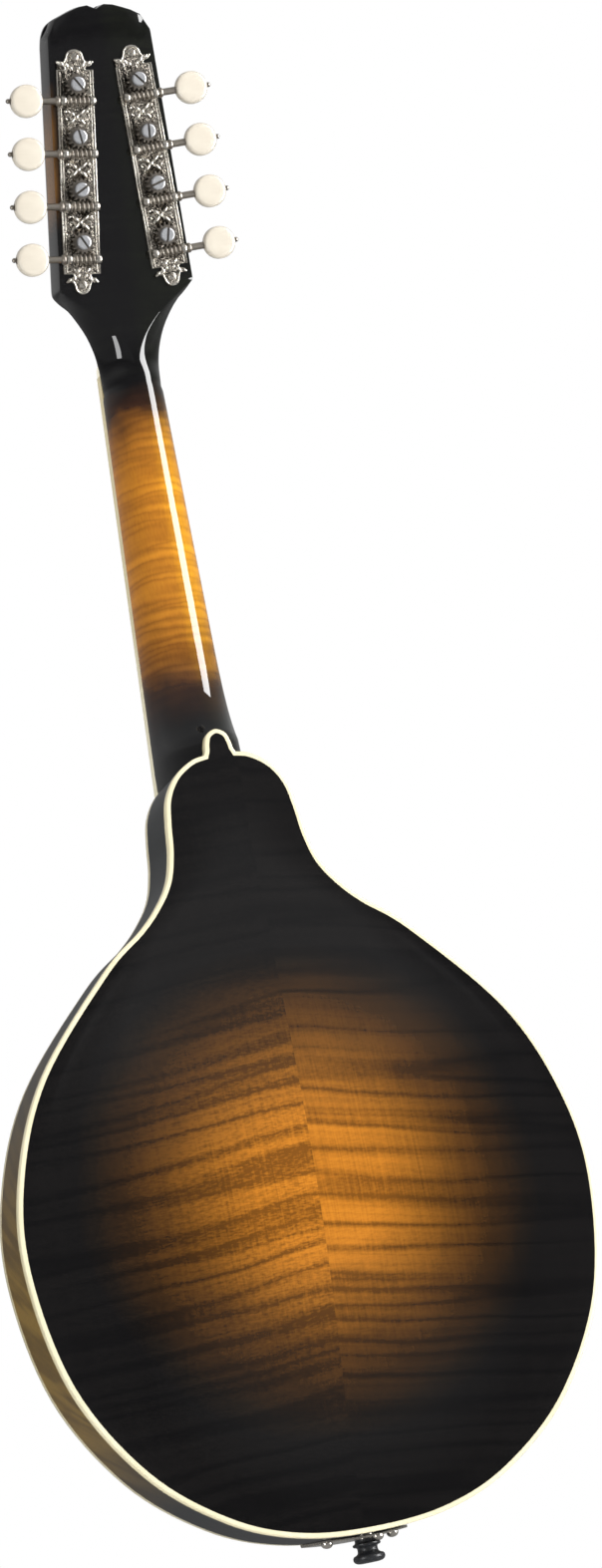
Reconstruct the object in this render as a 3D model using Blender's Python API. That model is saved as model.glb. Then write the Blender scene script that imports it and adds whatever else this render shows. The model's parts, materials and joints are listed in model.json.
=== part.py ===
"""A flat-headstock, oval-hole mandolin with a carved top and back, as separate solids.

Sizes are in millimetres and MM turns them into Blender's metres. +Z runs from the tail to the headstock,
the carved top faces -Y, the back faces +Y, and the treble side is +X. The origin is the centre of the end
pin's outer face. h is the height above the body's tail end.
"""

from math import cos, hypot, pi, radians, sin, tan

import bmesh
import bpy
from mathutils import Matrix, Vector

MM = 0.001
GAP = 0.3

# Body.
PIN_LENGTH = 12.0
BODY_DEPTH = 40.6
BINDING_HEIGHT = 4.5
BINDING_WIDTH = 2.0
RIM_THICKNESS = 2.2
BACK_ARCH = 14.0
TOP_ARCH = 15.0
SPINE_LOW = 105.0
SPINE_HIGH = 215.0
ARCH_PEAK_H = 150.0
ARCH_END_H = 325.0
LINING_WIDTH = 5.0
LINING_HEIGHT = 8.0
SOUNDHOLE_H = 243.0
SOUNDHOLE_WIDE = 27.0
SOUNDHOLE_HIGH = 19.0

# Half outline (x, h) of the body, from the tail to the neck joint, and of the button that caps the heel.
BODY_CURVE = [
    (0.0, 0.0), (33.0, 3.1), (62.8, 15.0), (93.3, 40.0), (117.3, 80.0), (126.8, 130.0), (121.8, 170.0),
    (104.4, 210.0), (69.6, 250.0), (50.5, 265.5), (41.2, 275.0), (34.6, 285.0), (31.2, 297.0), (29.6, 310.0),
    (27.4, 321.0), (22.0, 330.0), (14.0, 335.8), (7.2, 337.6),
]
NECK_JOINT_H = 338.0
BUTTON_CURVE = [(5.9, 342.5), (4.2, 346.6), (0.0, 348.7)]
LONG_SPANS = 8

# Neck. The fingerboard's front face starts at the nut and leans forward towards the body.
NUT_H = 521.4
NUT_Y = -6.35
NECK_LEAN = radians(6.56)
SCALE_LENGTH = 352.4
FRETS = 20
BOARD_THICKNESS = 5.5
BOARD_HALF_AT_NUT = 13.4
BOARD_TAPER = 0.0295
BOARD_BINDING = 1.5
FRET_HEIGHT = 1.0
FRET_WIDTH = 1.8
NUT_DEPTH = 4.5
HEEL_START_H = 395.0

# Headstock, in its own plane: s runs up the headstock from the nut, off runs from its front to its back.
HEAD_TILT = radians(18.32)
HEAD_SET_BACK = 4.0
HEAD_THICKNESS = 15.0
OVERLAY_THICKNESS = 2.0
HEAD_SIDE = [(37.5, 31.1), (148.0, 24.0)]
HEAD_FLARE = [(8.0, 14.0), (15.0, 15.4), (22.0, 18.4), (28.5, 23.4), (33.0, 28.6)]
HEAD_TOP = [(0.0, 160.0), (5.0, 162.2), (14.0, 159.2), (21.0, 156.0), (24.0, 151.0)]

# Tuners.
POST_SPACING = 23.0
TOP_POST_S = 127.3
TOP_POST_X = 13.98
ROW_SPLAY = radians(4.33)
POST_RADIUS = 2.9
POST_HOLE = 3.4
PLATE_WIDTH = 16.8
PLATE_THICKNESS = 1.2
WORM_DROP = 7.28
WORM_OFF = 19.6
GEAR_TEETH = 15
GEAR_TIP = 5.4
GEAR_ROOT = 4.2
GEAR_THICKNESS = 2.6
KNOB_REACH = 23.3
KNOB_RADIUS = 7.2
KNOB_THICKNESS = 6.2
SHAFT_RADIUS = 1.5
POST_FRONT = -9.0
HOLE_OFF = -5.5

# Bridge, tailpiece and strings.
BRIDGE_H = NUT_H - SCALE_LENGTH
BRIDGE_TOP_Y = -50.3
SADDLE_HEIGHT = 5.6
SADDLE_HALF = 37.0
WHEEL_X = 30.0
WHEEL_RADIUS = 5.5
WHEEL_THICKNESS = 1.6
WHEEL_DROP = 1.8
BRIDGE_BASE_HALF = 58.0
BRIDGE_BASE_TOP = BRIDGE_TOP_Y + SADDLE_HEIGHT + GAP + WHEEL_THICKNESS + WHEEL_DROP
POST_STUD = 1.5
TAIL_HALF = 22.5
TAIL_REACH = 56.0
TAIL_SHEET = 1.2
TAIL_CURVE = 170.0
HOOK_H = 24.0
PIN_HEAD = 6.9
PIN_SHANK = 3.6

# String name, its place across the nut and the bridge (as a share of the half spread), wire thickness.
STRINGS = [
    ("g1", -1.0, 1.0), ("g2", -0.80, 1.0), ("d1", -0.43, 0.65), ("d2", -0.24, 0.65),
    ("a1", 0.24, 0.40), ("a2", 0.43, 0.40), ("e1", 0.80, 0.30), ("e2", 1.0, 0.30),
]
NUT_SPREAD = 11.4
BRIDGE_SPREAD = 19.5
# The post of each string, counted from the headstock's top, on the bass side and on the treble side.
POST_ORDER = {"g1": 3, "g2": 2, "d1": 1, "d2": 0, "a1": 0, "a2": 1, "e1": 2, "e2": 3}

HALF_DEPTH = BODY_DEPTH / 2
RIM_HALF = HALF_DEPTH - BINDING_HEIGHT - GAP
BOARD_END = SCALE_LENGTH * (1 - 2 ** (-FRETS / 12)) + 4.0
# Past this distance from the nut the fingerboard lies over the body and grows down to the top.
BOARD_STEP = 188.3


# Scene and mesh helpers.


def clear_scene():
    for obj in list(bpy.data.objects):
        bpy.data.objects.remove(obj, do_unlink=True)


def material(name, color, roughness, metallic=0.0):
    found = bpy.data.materials.get(name)
    if found:
        return found
    made = bpy.data.materials.new(name)
    made.use_nodes = True
    shader = made.node_tree.nodes["Principled BSDF"]
    shader.inputs["Base Color"].default_value = (*color, 1.0)
    shader.inputs["Roughness"].default_value = roughness
    shader.inputs["Metallic"].default_value = metallic
    return made


def mesh_from(name, points, faces):
    """A closed mesh of points in millimetres, with coinciding points merged and its faces turned outwards."""
    mesh = bpy.data.meshes.new(name)
    mesh.from_pydata([Vector(point) * MM for point in points], [], faces)
    shape = bmesh.new()
    shape.from_mesh(mesh)
    bmesh.ops.remove_doubles(shape, verts=shape.verts, dist=0.000002)
    bmesh.ops.dissolve_degenerate(shape, edges=shape.edges, dist=0.000001)
    bmesh.ops.recalc_face_normals(shape, faces=shape.faces)
    shape.to_mesh(mesh)
    shape.free()
    return mesh


def place(name, mesh, finish, matrix=None, smooth=True):
    obj = bpy.data.objects.new(name, mesh)
    bpy.context.scene.collection.objects.link(obj)
    if matrix is not None:
        obj.matrix_world = matrix
    if not mesh.materials:
        mesh.materials.append(finish)
    if smooth:
        mesh.shade_smooth()
        mesh.set_sharp_from_angle(angle=radians(35))
    return obj


def loft(rings, closed=False):
    """Points and faces of rings of equal length, joined in order. The ends are capped unless closed."""
    size = len(rings[0])
    points = [point for ring in rings for point in ring]
    faces = []
    for index in range(len(rings) if closed else len(rings) - 1):
        this = index * size
        after = (index + 1) % len(rings) * size
        for j in range(size):
            k = (j + 1) % size
            faces.append((this + j, this + k, after + k, after + j))
    if not closed:
        faces.append(tuple(range(size)))
        faces.append(tuple(range(len(points) - size, len(points))))
    return points, faces


def lofted(name, rings, finish, closed=False, smooth=True):
    return place(name, mesh_from(name, *loft(rings, closed)), finish, smooth=smooth)


def circle(radius, height, sides, turn=0.0):
    steps = [2 * pi * (k + turn) / sides for k in range(sides)]
    return [(radius * cos(angle), radius * sin(angle), height) for angle in steps]


def turned_mesh(name, profile, sides):
    """A solid turned about Z from (radius, height) pairs."""
    return mesh_from(name, *loft([circle(radius, height, sides) for radius, height in profile]))


def at(origin, x_axis, z_axis):
    """The matrix that puts a mesh at origin (millimetres), with its X and Z along the given directions."""
    z_axis = z_axis.normalized()
    y_axis = z_axis.cross(x_axis).normalized()
    x_axis = y_axis.cross(z_axis)
    turn = Matrix((x_axis, y_axis, z_axis)).transposed().to_4x4()
    return Matrix.Translation(origin * MM) @ turn


def boolean(obj, other, operation):
    modifier = obj.modifiers.new(operation.lower(), "BOOLEAN")
    modifier.operation = operation
    modifier.solver = "EXACT"
    modifier.object = other
    other.hide_render = True
    other.display_type = "WIRE"


def helper(name, parts, matrix=None):
    """A cutter or an added shape made of separate bodies, each given as points and faces."""
    points = []
    faces = []
    for part_points, part_faces in parts:
        start = len(points)
        points.extend(part_points)
        faces.extend(tuple(start + index for index in face) for face in part_faces)
    obj = bpy.data.objects.new(name, mesh_from(name, points, faces))
    bpy.context.scene.collection.objects.link(obj)
    if matrix is not None:
        obj.matrix_world = matrix
    return obj


def moved(solid, matrix):
    """Points and faces, with the points taken through a matrix whose offset is in millimetres."""
    points, faces = solid
    return [tuple(matrix @ Vector(point)) for point in points], faces


def rod(start, end, radius, sides):
    """Points and faces of a plain round bar between two points."""
    along = end - start
    side = Vector((1, 0, 0)) if abs(along.normalized().x) < 0.9 else Vector((0, 0, 1))
    z_axis = along.normalized()
    y_axis = z_axis.cross(side).normalized()
    x_axis = y_axis.cross(z_axis)
    turn = Matrix((x_axis, y_axis, z_axis)).transposed().to_4x4()
    bar = loft([circle(radius, 0, sides), circle(radius, along.length, sides)])
    return moved(bar, Matrix.Translation(start) @ turn)


def block(low, high):
    """Points and faces of a box."""
    (x0, y0, z0), (x1, y1, z1) = low, high
    lower = [(x0, y0, z0), (x1, y0, z0), (x1, y1, z0), (x0, y1, z0)]
    upper = [(x0, y0, z1), (x1, y0, z1), (x1, y1, z1), (x0, y1, z1)]
    return loft([lower, upper])


# Body outline and arching.


def curve_point(before, start, end, after, t):
    """A Catmull-Rom curve's point between start and end."""
    return tuple(
        0.5 * (2 * b + (c - a) * t + (2 * a - 5 * b + 4 * c - d) * t**2 + (3 * b - a - 3 * c + d) * t**3)
        for a, b, c, d in zip(before, start, end, after)
    )


def half_outline(button):
    """The outline's points at x >= 0, from the tail to the neck end."""
    tip = (0.0, NECK_JOINT_H)
    knots = [(-33.0, 3.1), *BODY_CURVE, tip]
    points = []
    for index in range(1, len(knots) - 2):
        steps = 2 if index <= LONG_SPANS else 1
        for step in range(steps):
            points.append(curve_point(*knots[index - 1:index + 3], step / steps))
    points.append(BODY_CURVE[-1])
    return points + (BUTTON_CURVE if button else [tip])


def outline(inset=0.0, button=False):
    """The whole outline as (x, h), moved inwards by inset with mitred corners."""
    right = half_outline(button)
    left = [(-x, h) for x, h in reversed(right[1:-1])]
    ring = right + left
    if not inset:
        return ring
    moved_in = []
    for index, here in enumerate(ring):
        before = ring[index - 1]
        after = ring[(index + 1) % len(ring)]
        normals = []
        for (x0, h0), (x1, h1) in ((before, here), (here, after)):
            length = hypot(x1 - x0, h1 - h0)
            normals.append((-(h1 - h0) / length, (x1 - x0) / length))
        (ax, ah), (bx, bh) = normals
        scale = inset / (1 + ax * bx + ah * bh)
        moved_in.append((here[0] + (ax + bx) * scale, here[1] + (ah + bh) * scale))
    return moved_in


def spine_h(h):
    """The height on the centre line that an outline point's arching runs up to."""
    share = min(max(h / NECK_JOINT_H, 0.0), 1.0)
    return SPINE_LOW + (SPINE_HIGH - SPINE_LOW) * share * share * (3 - 2 * share)


def half_width(h):
    """The body's half width at height h."""
    half = half_outline(False)
    for (x0, h0), (x1, h1) in zip(half, half[1:]):
        if h <= h1:
            return x0 + (x1 - x0) * (h - h0) / (h1 - h0)
    return 0.0


def arch(x, h):
    """The arch's height at a point, as a share of its full height: a smooth hill with a faint rim channel."""
    side = min(abs(x) / max(half_width(h), 0.1), 1.0)
    across = 0.5 + 0.5 * cos(pi * min(side / 0.94, 1.0))
    if h < ARCH_PEAK_H:
        along = min(max((h - 5.0) / (ARCH_PEAK_H - 5.0), 0.0), 1.0)
    else:
        along = min(max((ARCH_END_H - h) / (ARCH_END_H - ARCH_PEAK_H), 0.0), 1.0)
    channel = 0.03 * sin(pi * min((1 - side) / 0.12, 1.0)) ** 2
    return across * (0.5 - 0.5 * cos(pi * along)) - channel


def top_face_y(x, h):
    return -HALF_DEPTH - TOP_ARCH * arch(x, h)


def body_ring(ring, y):
    return [(x, y, h + PIN_LENGTH) for x, h in ring]


def carved_plate(name, side, rise, finish, button):
    """A carved plate: the outer face, the edge and the hollowed inner face. side is +1 for the back."""
    edge = outline(BINDING_WIDTH + GAP, button)
    under = HALF_DEPTH - BINDING_HEIGHT

    def ring(share, base, height, flat):
        points = []
        for x, h in edge:
            inward = (x * (1 - share), h + (spine_h(h) - h) * share)
            lift = 0.0 if flat else height * arch(*inward)
            points.append((inward[0], side * (base + lift), inward[1] + PIN_LENGTH))
        return points

    outer = [ring(share, HALF_DEPTH, rise, share < 0.01) for share in (1.0, 0.72, 0.5, 0.32, 0.18, 0.07, 0.0)]
    inner = [ring(share, under, rise, share < 0.09) for share in (0.0, 0.08, 0.18, 0.35, 0.6, 1.0)]
    points, faces = loft(outer + inner)
    return place(name, mesh_from(name, points, faces[:-2]), finish)


def ring_wall(name, outer, inner, low, high, finish):
    """A closed wall between two outlines of the body, from y low to y high."""
    rings = [body_ring(outer, low), body_ring(outer, high), body_ring(inner, high), body_ring(inner, low)]
    return lofted(name, rings, finish, closed=True)


def slab(ring, low, high):
    return loft([body_ring(ring, low), body_ring(ring, high)])


def end_block(name, keep, finish):
    """A block that fills one end of the body between the plates, notched for the linings."""
    inside = outline(RIM_THICKNESS + GAP)
    deeper = outline(RIM_THICKNESS + LINING_WIDTH + 2 * GAP)
    tall = HALF_DEPTH - BINDING_HEIGHT - GAP
    short = RIM_HALF - LINING_HEIGHT - 2 * GAP
    obj = place(name, mesh_from(name, *slab(clipped(deeper, keep), -tall, tall)), finish, smooth=False)
    boolean(obj, helper(name + "_waist", [slab(clipped(inside, keep), -short, short)]), "UNION")
    return obj


def clipped(ring, keep):
    """The part of an outline that keep(x, h) accepts."""
    return [point for point in ring if keep(*point)]


def make_body():
    maple = material("flamed_maple", (0.30, 0.11, 0.03), 0.25)
    spruce = material("spruce", (0.62, 0.33, 0.12), 0.3)
    ivory = material("ivory_binding", (0.87, 0.80, 0.58), 0.35)
    lining_wood = material("lining_wood", (0.55, 0.38, 0.22), 0.6)
    carved_plate("back_plate", 1, BACK_ARCH, maple, True)
    top = carved_plate("top_plate", -1, TOP_ARCH, spruce, False)
    hole = [circle(1.0, y, 24) for y in (-60.0, -10.0)]
    hole = [
        [(SOUNDHOLE_WIDE * x, z, SOUNDHOLE_HIGH * y + SOUNDHOLE_H + PIN_LENGTH) for x, y, z in ring]
        for ring in hole
    ]
    boolean(top, helper("soundhole_cutter", [loft(hole)]), "DIFFERENCE")
    dark = material("rim_maple", (0.05, 0.03, 0.02), 0.25)
    rim = ring_wall("rim", outline(), outline(RIM_THICKNESS), -RIM_HALF, RIM_HALF, dark)
    pin_way = rod(Vector((0, 0, -1.0)), Vector((0, 0, 60.0)), PIN_SHANK + 0.4, 12)
    boolean(rim, helper("rim_pin_hole", [pin_way]), "DIFFERENCE")
    low = HALF_DEPTH - BINDING_HEIGHT
    for name, side, button in (("back_binding", 1, True), ("top_binding", -1, False)):
        ring_wall(
            name, outline(0, button), outline(BINDING_WIDTH, button), side * low, side * HALF_DEPTH, ivory
        )
    wall = RIM_THICKNESS + GAP
    inner = outline(wall + LINING_WIDTH)
    for name, side in (("back_lining", 1), ("top_lining", -1)):
        ring_wall(name, outline(wall), inner, side * (RIM_HALF - LINING_HEIGHT), side * RIM_HALF, lining_wood)
    end_block("neck_block", lambda x, h: h > 283.0, lining_wood)
    tail = end_block("tail_block", lambda x, h: h < 20.0, lining_wood)
    boolean(tail, helper("block_pin_hole", [pin_way]), "DIFFERENCE")
    make_cross_brace(spruce)


def make_cross_brace(finish):
    """The bar glued across the inside of the top, below the sound hole."""
    h = SOUNDHOLE_H - SOUNDHOLE_HIGH - 9.0
    half = 84.0
    steps = 12
    rings = []
    for step in range(steps + 1):
        x = half * (2 * step / steps - 1)
        glued = -(HALF_DEPTH - BINDING_HEIGHT) - TOP_ARCH * arch(x, h) + 1.2
        depth = 3.0 + 6.0 * (1 - (x / half) ** 2)
        section = [(-2.8, glued), (2.8, glued), (2.2, glued + depth), (-2.2, glued + depth)]
        rings.append([(x, y, h + PIN_LENGTH + across) for across, y in section])
    lofted("cross_brace", rings, finish, smooth=False)


# Neck, headstock and fingerboard.

ALONG_HEAD = Vector((0, sin(HEAD_TILT), cos(HEAD_TILT)))
HEAD_BACK = Vector((0, cos(HEAD_TILT), -sin(HEAD_TILT)))
HEAD_ORIGIN = Vector((0, NUT_Y + HEAD_SET_BACK, NUT_H + PIN_LENGTH))
DOWN_NECK = Vector((0, -sin(NECK_LEAN), -cos(NECK_LEAN)))
BOARD_FRONT = Vector((0, -cos(NECK_LEAN), sin(NECK_LEAN)))
NUT_POINT = Vector((0, NUT_Y, NUT_H + PIN_LENGTH))


def on_head(x, s, off):
    return HEAD_ORIGIN + Vector((x, 0, 0)) + ALONG_HEAD * s + HEAD_BACK * off


def on_board(x, t, lift):
    """A point t down the neck from the nut, lifted off the fingerboard's front face."""
    return NUT_POINT + Vector((x, 0, 0)) + DOWN_NECK * t + BOARD_FRONT * lift


def board_y(h):
    return NUT_Y - (NUT_H - h) * tan(NECK_LEAN)


def board_half(t):
    return BOARD_HALF_AT_NUT + BOARD_TAPER * t


def blend_points(first, second, mix):
    return [
        (x0 + (x1 - x0) * mix, q0 + (q1 - q0) * mix) for (x0, q0), (x1, q1) in zip(first, second)
    ]


def mirrored(half):
    return half + [(-x, q) for x, q in reversed(half[:-1])]


# Back halves of the neck's section as (share of half width, share of depth): shaft, headstock and heel.
SHAFT_SECTION = mirrored([(cos(pi * k / 10), sin(pi * k / 10) ** 0.92) for k in range(5)] + [(0.0, 1.0)])
HEAD_SECTION = mirrored([(1, 0), (1, 0.5), (1, 0.94), (0.95, 1), (0.45, 1), (0, 1)])
HEEL_SECTION = mirrored([(1, 0), (0.97, 0.2), (0.84, 0.45), (0.6, 0.74), (0.36, 0.97), (0, 1)])


def neck_ring(place_point, half, depth, section, groove):
    """One section of the neck: its rounded back, then its flat front with the truss rod's groove."""
    ring = [place_point(x * half, q * depth) for x, q in section]
    for x, q in ((-0.62 * half, 0), (-3.2, 0), (-3.2, groove), (3.2, groove), (3.2, 0), (0.62 * half, 0)):
        ring.append(place_point(x, q))
    return ring


def shaft_ring(h, groove):
    """A level section of the neck at height h, blending from shaft into heel."""
    front = board_y(h) + BOARD_THICKNESS + GAP
    half = board_half((NUT_H - h) / cos(NECK_LEAN))
    shaft_back = front + 15.4 + 0.018 * (NUT_H - h)
    heel_back = HALF_DEPTH - BINDING_HEIGHT - GAP
    rise = min(max((HEEL_START_H - h) / (HEEL_START_H - 347.0), 0.0), 1.0)
    back = shaft_back + (heel_back - shaft_back) * rise**2.4
    section = blend_points(SHAFT_SECTION, HEEL_SECTION, rise**1.3)
    return neck_ring(lambda x, q: (x, front + q, h + PIN_LENGTH), half, back - front, section, groove)


def head_half(s):
    knots = [*HEAD_FLARE, *HEAD_SIDE]
    for (s0, w0), (s1, w1) in zip(knots, knots[1:]):
        if s <= s1:
            return w0 + (w1 - w0) * (s - s0) / (s1 - s0)
    return knots[-1][1]


def head_ring(s, groove):
    front = OVERLAY_THICKNESS + GAP
    flat = min(max((s - 6.0) / 30.0, 0.0), 1.0)
    section = blend_points(SHAFT_SECTION, HEAD_SECTION, flat)
    depth = HEAD_THICKNESS - front
    return neck_ring(lambda x, q: tuple(on_head(x, s, front + q)), head_half(s), depth, section, groove)


def head_top_s(x):
    x = abs(x)
    for (x0, s0), (x1, s1) in zip(HEAD_TOP, HEAD_TOP[1:]):
        if x <= x1:
            return s0 + (s1 - s0) * (x - x0) / (x1 - x0)
    return HEAD_TOP[-1][1]


def top_ring():
    front = OVERLAY_THICKNESS + GAP
    depth = HEAD_THICKNESS - front
    fractions = mirrored([(1, 0), (1, 0.5), (1, 0.97), (0.86, 1), (0.21, 1), (0, 1)])

    def point(x, q):
        return tuple(on_head(x, head_top_s(x), front + q))

    return neck_ring(point, 24.0, depth, fractions, 0.5)


def posts():
    """Each string's name, side, post axis origin (on the headstock's front plane) and its directions."""
    found = []
    for name, share, _ in STRINGS:
        side = 1 if share > 0 else -1
        across = Vector((side, 0, 0))
        down_row = across * sin(ROW_SPLAY) - ALONG_HEAD * cos(ROW_SPLAY)
        outward = across * cos(ROW_SPLAY) + ALONG_HEAD * sin(ROW_SPLAY)
        start = on_head(side * TOP_POST_X, TOP_POST_S, 0)
        found.append((name, side, start + down_row * POST_SPACING * POST_ORDER[name], outward, down_row))
    return found


def post_cutter(name):
    bars = [
        rod(centre - HEAD_BACK * 2, centre + HEAD_BACK * (HEAD_THICKNESS + 2), POST_HOLE, 12)
        for _, _, centre, _, _ in posts()
    ]
    return helper(name, bars)


def make_neck():
    wood = material("neck_maple", (0.22, 0.08, 0.02), 0.25)
    groove = 9.0
    rings = [shaft_ring(NECK_JOINT_H + GAP, 0.5), shaft_ring(343.0, groove), shaft_ring(347.0, groove)]
    rings += [shaft_ring(h, groove) for h in (353, 361, 371, 383, 396, 425, 455, 485, 508, 519)]
    rings += [head_ring(s, groove) for s in (8, 15, 22)]
    rings += [head_ring(s, 0.5) for s in (28.5, 33, 37.5, 60, 90, 120, 144)]
    rings.append(top_ring())
    neck = lofted("neck", rings, wood)
    boolean(neck, post_cutter("neck_post_holes"), "DIFFERENCE")


def overlay_outline():
    low = [(board_half(0), NUT_DEPTH + 2.5), (14.0, 8.0)]
    side = low + [(w, s) for s, w in HEAD_FLARE[1:]] + [(w, s) for s, w in HEAD_SIDE]
    top = list(reversed(HEAD_TOP))
    right = side + top[:-1] + [HEAD_TOP[0]]
    return right + [(-x, s) for x, s in reversed(right[:-1])]


def make_overlay():
    black = material("black_overlay", (0.012, 0.012, 0.012), 0.2)
    ring = overlay_outline()
    rings = [[tuple(on_head(x, s, off)) for x, s in ring] for off in (0.0, OVERLAY_THICKNESS)]
    overlay = lofted("headstock_overlay", rings, black, smooth=False)
    cutter = post_cutter("overlay_post_holes")
    boolean(overlay, cutter, "DIFFERENCE")


def make_truss_rod():
    steel = material("truss_steel", (0.5, 0.5, 0.52), 0.35, 1.0)
    depth = BOARD_THICKNESS + GAP + 5.0
    start = on_board(0, 168.0, -depth)
    end = on_board(0, -4.0, -depth)
    place("truss_rod", mesh_from("truss_rod", *rod(start, end, 2.4, 10)), steel)
    cover = [(9.5, 9.5), (10.0, 14.0), (6.0, 26.0), (3.0, 36.0), (0.0, 38.5)]
    ring = cover + [(-x, s) for x, s in reversed(cover[:-1])]
    rings = [[tuple(on_head(x, s, off)) for x, s in ring] for off in (-1.8 - GAP, -GAP)]
    lofted("truss_rod_cover", rings, material("black_overlay", (0.012, 0.012, 0.012), 0.2), smooth=False)


def board_section(half, t, lift):
    """A section of the fingerboard: over the body its underside follows the carved top."""
    under = -BOARD_THICKNESS
    if t > BOARD_STEP:
        h = on_board(0, t, under).z - PIN_LENGTH
        under = -(top_face_y(0, h) - board_y(h)) * cos(NECK_LEAN) + 0.7
    pairs = [(-half, lift), (half, lift), (half, under), (-half, under)]
    return [tuple(on_board(x, t, y)) for x, y in pairs]


def fret_places():
    return [SCALE_LENGTH * (1 - 2 ** (-fret / 12)) for fret in range(1, FRETS + 1)]


def make_fingerboard():
    ebony = material("ebony", (0.02, 0.014, 0.01), 0.4)
    inset = BOARD_BINDING + GAP
    stations = [(0.0, 0.0)]
    half = FRET_WIDTH / 2
    for t in fret_places():
        stations += [(t - half, 0.0), (t - 0.4, FRET_HEIGHT), (t + 0.4, FRET_HEIGHT), (t + half, 0.0)]
    stations += [(BOARD_STEP - 0.1, 0.0), (BOARD_STEP + 0.1, 0.0), (BOARD_END - inset, 0.0)]
    stations.sort(key=lambda station: station[0])
    rings = [board_section(board_half(t) - inset, t, lift) for t, lift in stations]
    lofted("fingerboard", rings, ebony, smooth=False)
    outer = [(board_half(0), 0.0), (board_half(BOARD_END), BOARD_END)]
    far = BOARD_END - BOARD_BINDING
    inner = [(board_half(0) - BOARD_BINDING, 0.0), (board_half(BOARD_END) - BOARD_BINDING, far)]
    ring = outer + [(-x, t) for x, t in reversed(outer)] + [(-x, t) for x, t in inner] + list(reversed(inner))
    rings = [[tuple(on_board(x, t, lift)) for x, t in ring] for lift in (0.0, 1.5 - BOARD_THICKNESS)]
    lofted("fingerboard_binding", rings, material("ivory_binding", (0.87, 0.80, 0.58), 0.35), smooth=False)


def make_nut():
    half = board_half(0)
    low = HEAD_SET_BACK + OVERLAY_THICKNESS
    section = [(-GAP, 1.4), (-GAP, -low + 1.2), (-NUT_DEPTH - 1.0, -low + 2.6), (-NUT_DEPTH - 0.6, 0.4)]
    rings = [[tuple(on_board(x, t, lift)) for t, lift in section] for x in (-half, half)]
    lofted("nut", rings, material("bone", (0.85, 0.80, 0.66), 0.4), smooth=False)


# Tuners.


def plate_outline():
    """The tuner plate in its own plane: across, and along from the top post, with a finial at each end."""
    half = PLATE_WIDTH / 2
    top = [(half, -6.6), (half - 1.6, -7.4), (3.4, -8.0), (4.6, -11.5), (2.6, -14.6), (0.0, -15.8)]
    end = 3 * POST_SPACING + 13.5
    low = [(half, end), (half - 1.6, end + 0.8), (2.8, end + 1.4), (3.6, end + 5.0), (2.2, end + 8.0)]
    low.append((0.0, end + 9.2))
    right = list(reversed(top)) + low
    return right + [(-x, y) for x, y in reversed(right[1:-1])]


def plate_cutter(row, name):
    bars = []
    for _, _, centre, outward, down_row in row:
        back = centre + HEAD_BACK * WORM_OFF + down_row * WORM_DROP
        bars.append(rod(back - outward * 10.5, back + outward * 10.5, SHAFT_RADIUS + 0.3, 10))
        bars.append(rod(centre + HEAD_BACK * 13, centre + HEAD_BACK * 18, POST_HOLE, 12))
    return helper(name, bars)


def lug(centre, outward, down_row):
    """A bearing lug that stands on the plate around the worm shaft."""
    low = HEAD_THICKNESS + GAP + 0.4
    solid = block((-1.0, -2.6, low - WORM_OFF), (1.0, 2.6, 2.6))
    turn = Matrix((outward, down_row, HEAD_BACK)).transposed().to_4x4()
    return moved(solid, Matrix.Translation(centre) @ turn)


def make_tuner_plates():
    nickel = material("nickel", (0.72, 0.69, 0.62), 0.3, 1.0)
    low = HEAD_THICKNESS + GAP
    for name, side in (("tuner_plate_bass", -1), ("tuner_plate_treble", 1)):
        row = [entry for entry in posts() if entry[1] == side]
        first = min(row, key=lambda entry: POST_ORDER[entry[0]])
        centre, outward, down_row = first[2:]
        rings = [
            [tuple(centre + outward * x + down_row * y + HEAD_BACK * off) for x, y in plate_outline()]
            for off in (low, low + PLATE_THICKNESS)
        ]
        plate = lofted(name, rings, nickel, smooth=False)
        lugs = []
        for _, _, post, _, _ in row:
            worm = post + HEAD_BACK * WORM_OFF + down_row * WORM_DROP
            lugs += [lug(worm + outward * reach, outward, down_row) for reach in (-6.9, 6.9)]
        boolean(plate, helper(name + "_lugs", lugs), "UNION")
        boolean(plate, plate_cutter(row, name + "_holes"), "DIFFERENCE")


def gear_mesh():
    """A string post with its gear and gear screw, about Z, where 0 is the headstock's front plane."""
    low = WORM_OFF - GEAR_THICKNESS / 2
    high = WORM_OFF + GEAR_THICKNESS / 2
    profile = [
        (2.5, POST_FRONT), (POST_RADIUS, POST_FRONT + 0.6), (POST_RADIUS, HOLE_OFF - 1.6), (2.3, HOLE_OFF),
        (POST_RADIUS, HOLE_OFF + 1.6), (POST_RADIUS, high), (2.7, high), (2.7, high + 0.9), (1.6, high + 1.6),
    ]
    post = helper("gear_post_turned", [loft([circle(radius, z, 10) for radius, z in profile])])
    rings = []
    for z in (low, high):
        ring = []
        for tooth in range(GEAR_TEETH):
            for share, radius in ((0.0, GEAR_TIP), (0.25, GEAR_TIP), (0.62, GEAR_ROOT)):
                angle = 2 * pi * (tooth + share - 0.125) / GEAR_TEETH
                ring.append((radius * cos(angle), radius * sin(angle), z))
        rings.append(ring)
    gear = helper("gear_wheel", [loft(rings)])
    boolean(gear, post, "UNION")
    return frozen(gear, "gear_post_mesh")


def frozen(obj, name):
    """The mesh that an object's modifiers give, for several objects to share."""
    bpy.context.view_layer.update()
    graph = bpy.context.evaluated_depsgraph_get()
    mesh = bpy.data.meshes.new_from_object(obj.evaluated_get(graph))
    mesh.name = name
    obj.hide_render = True
    obj.display_type = "WIRE"
    return mesh


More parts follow.
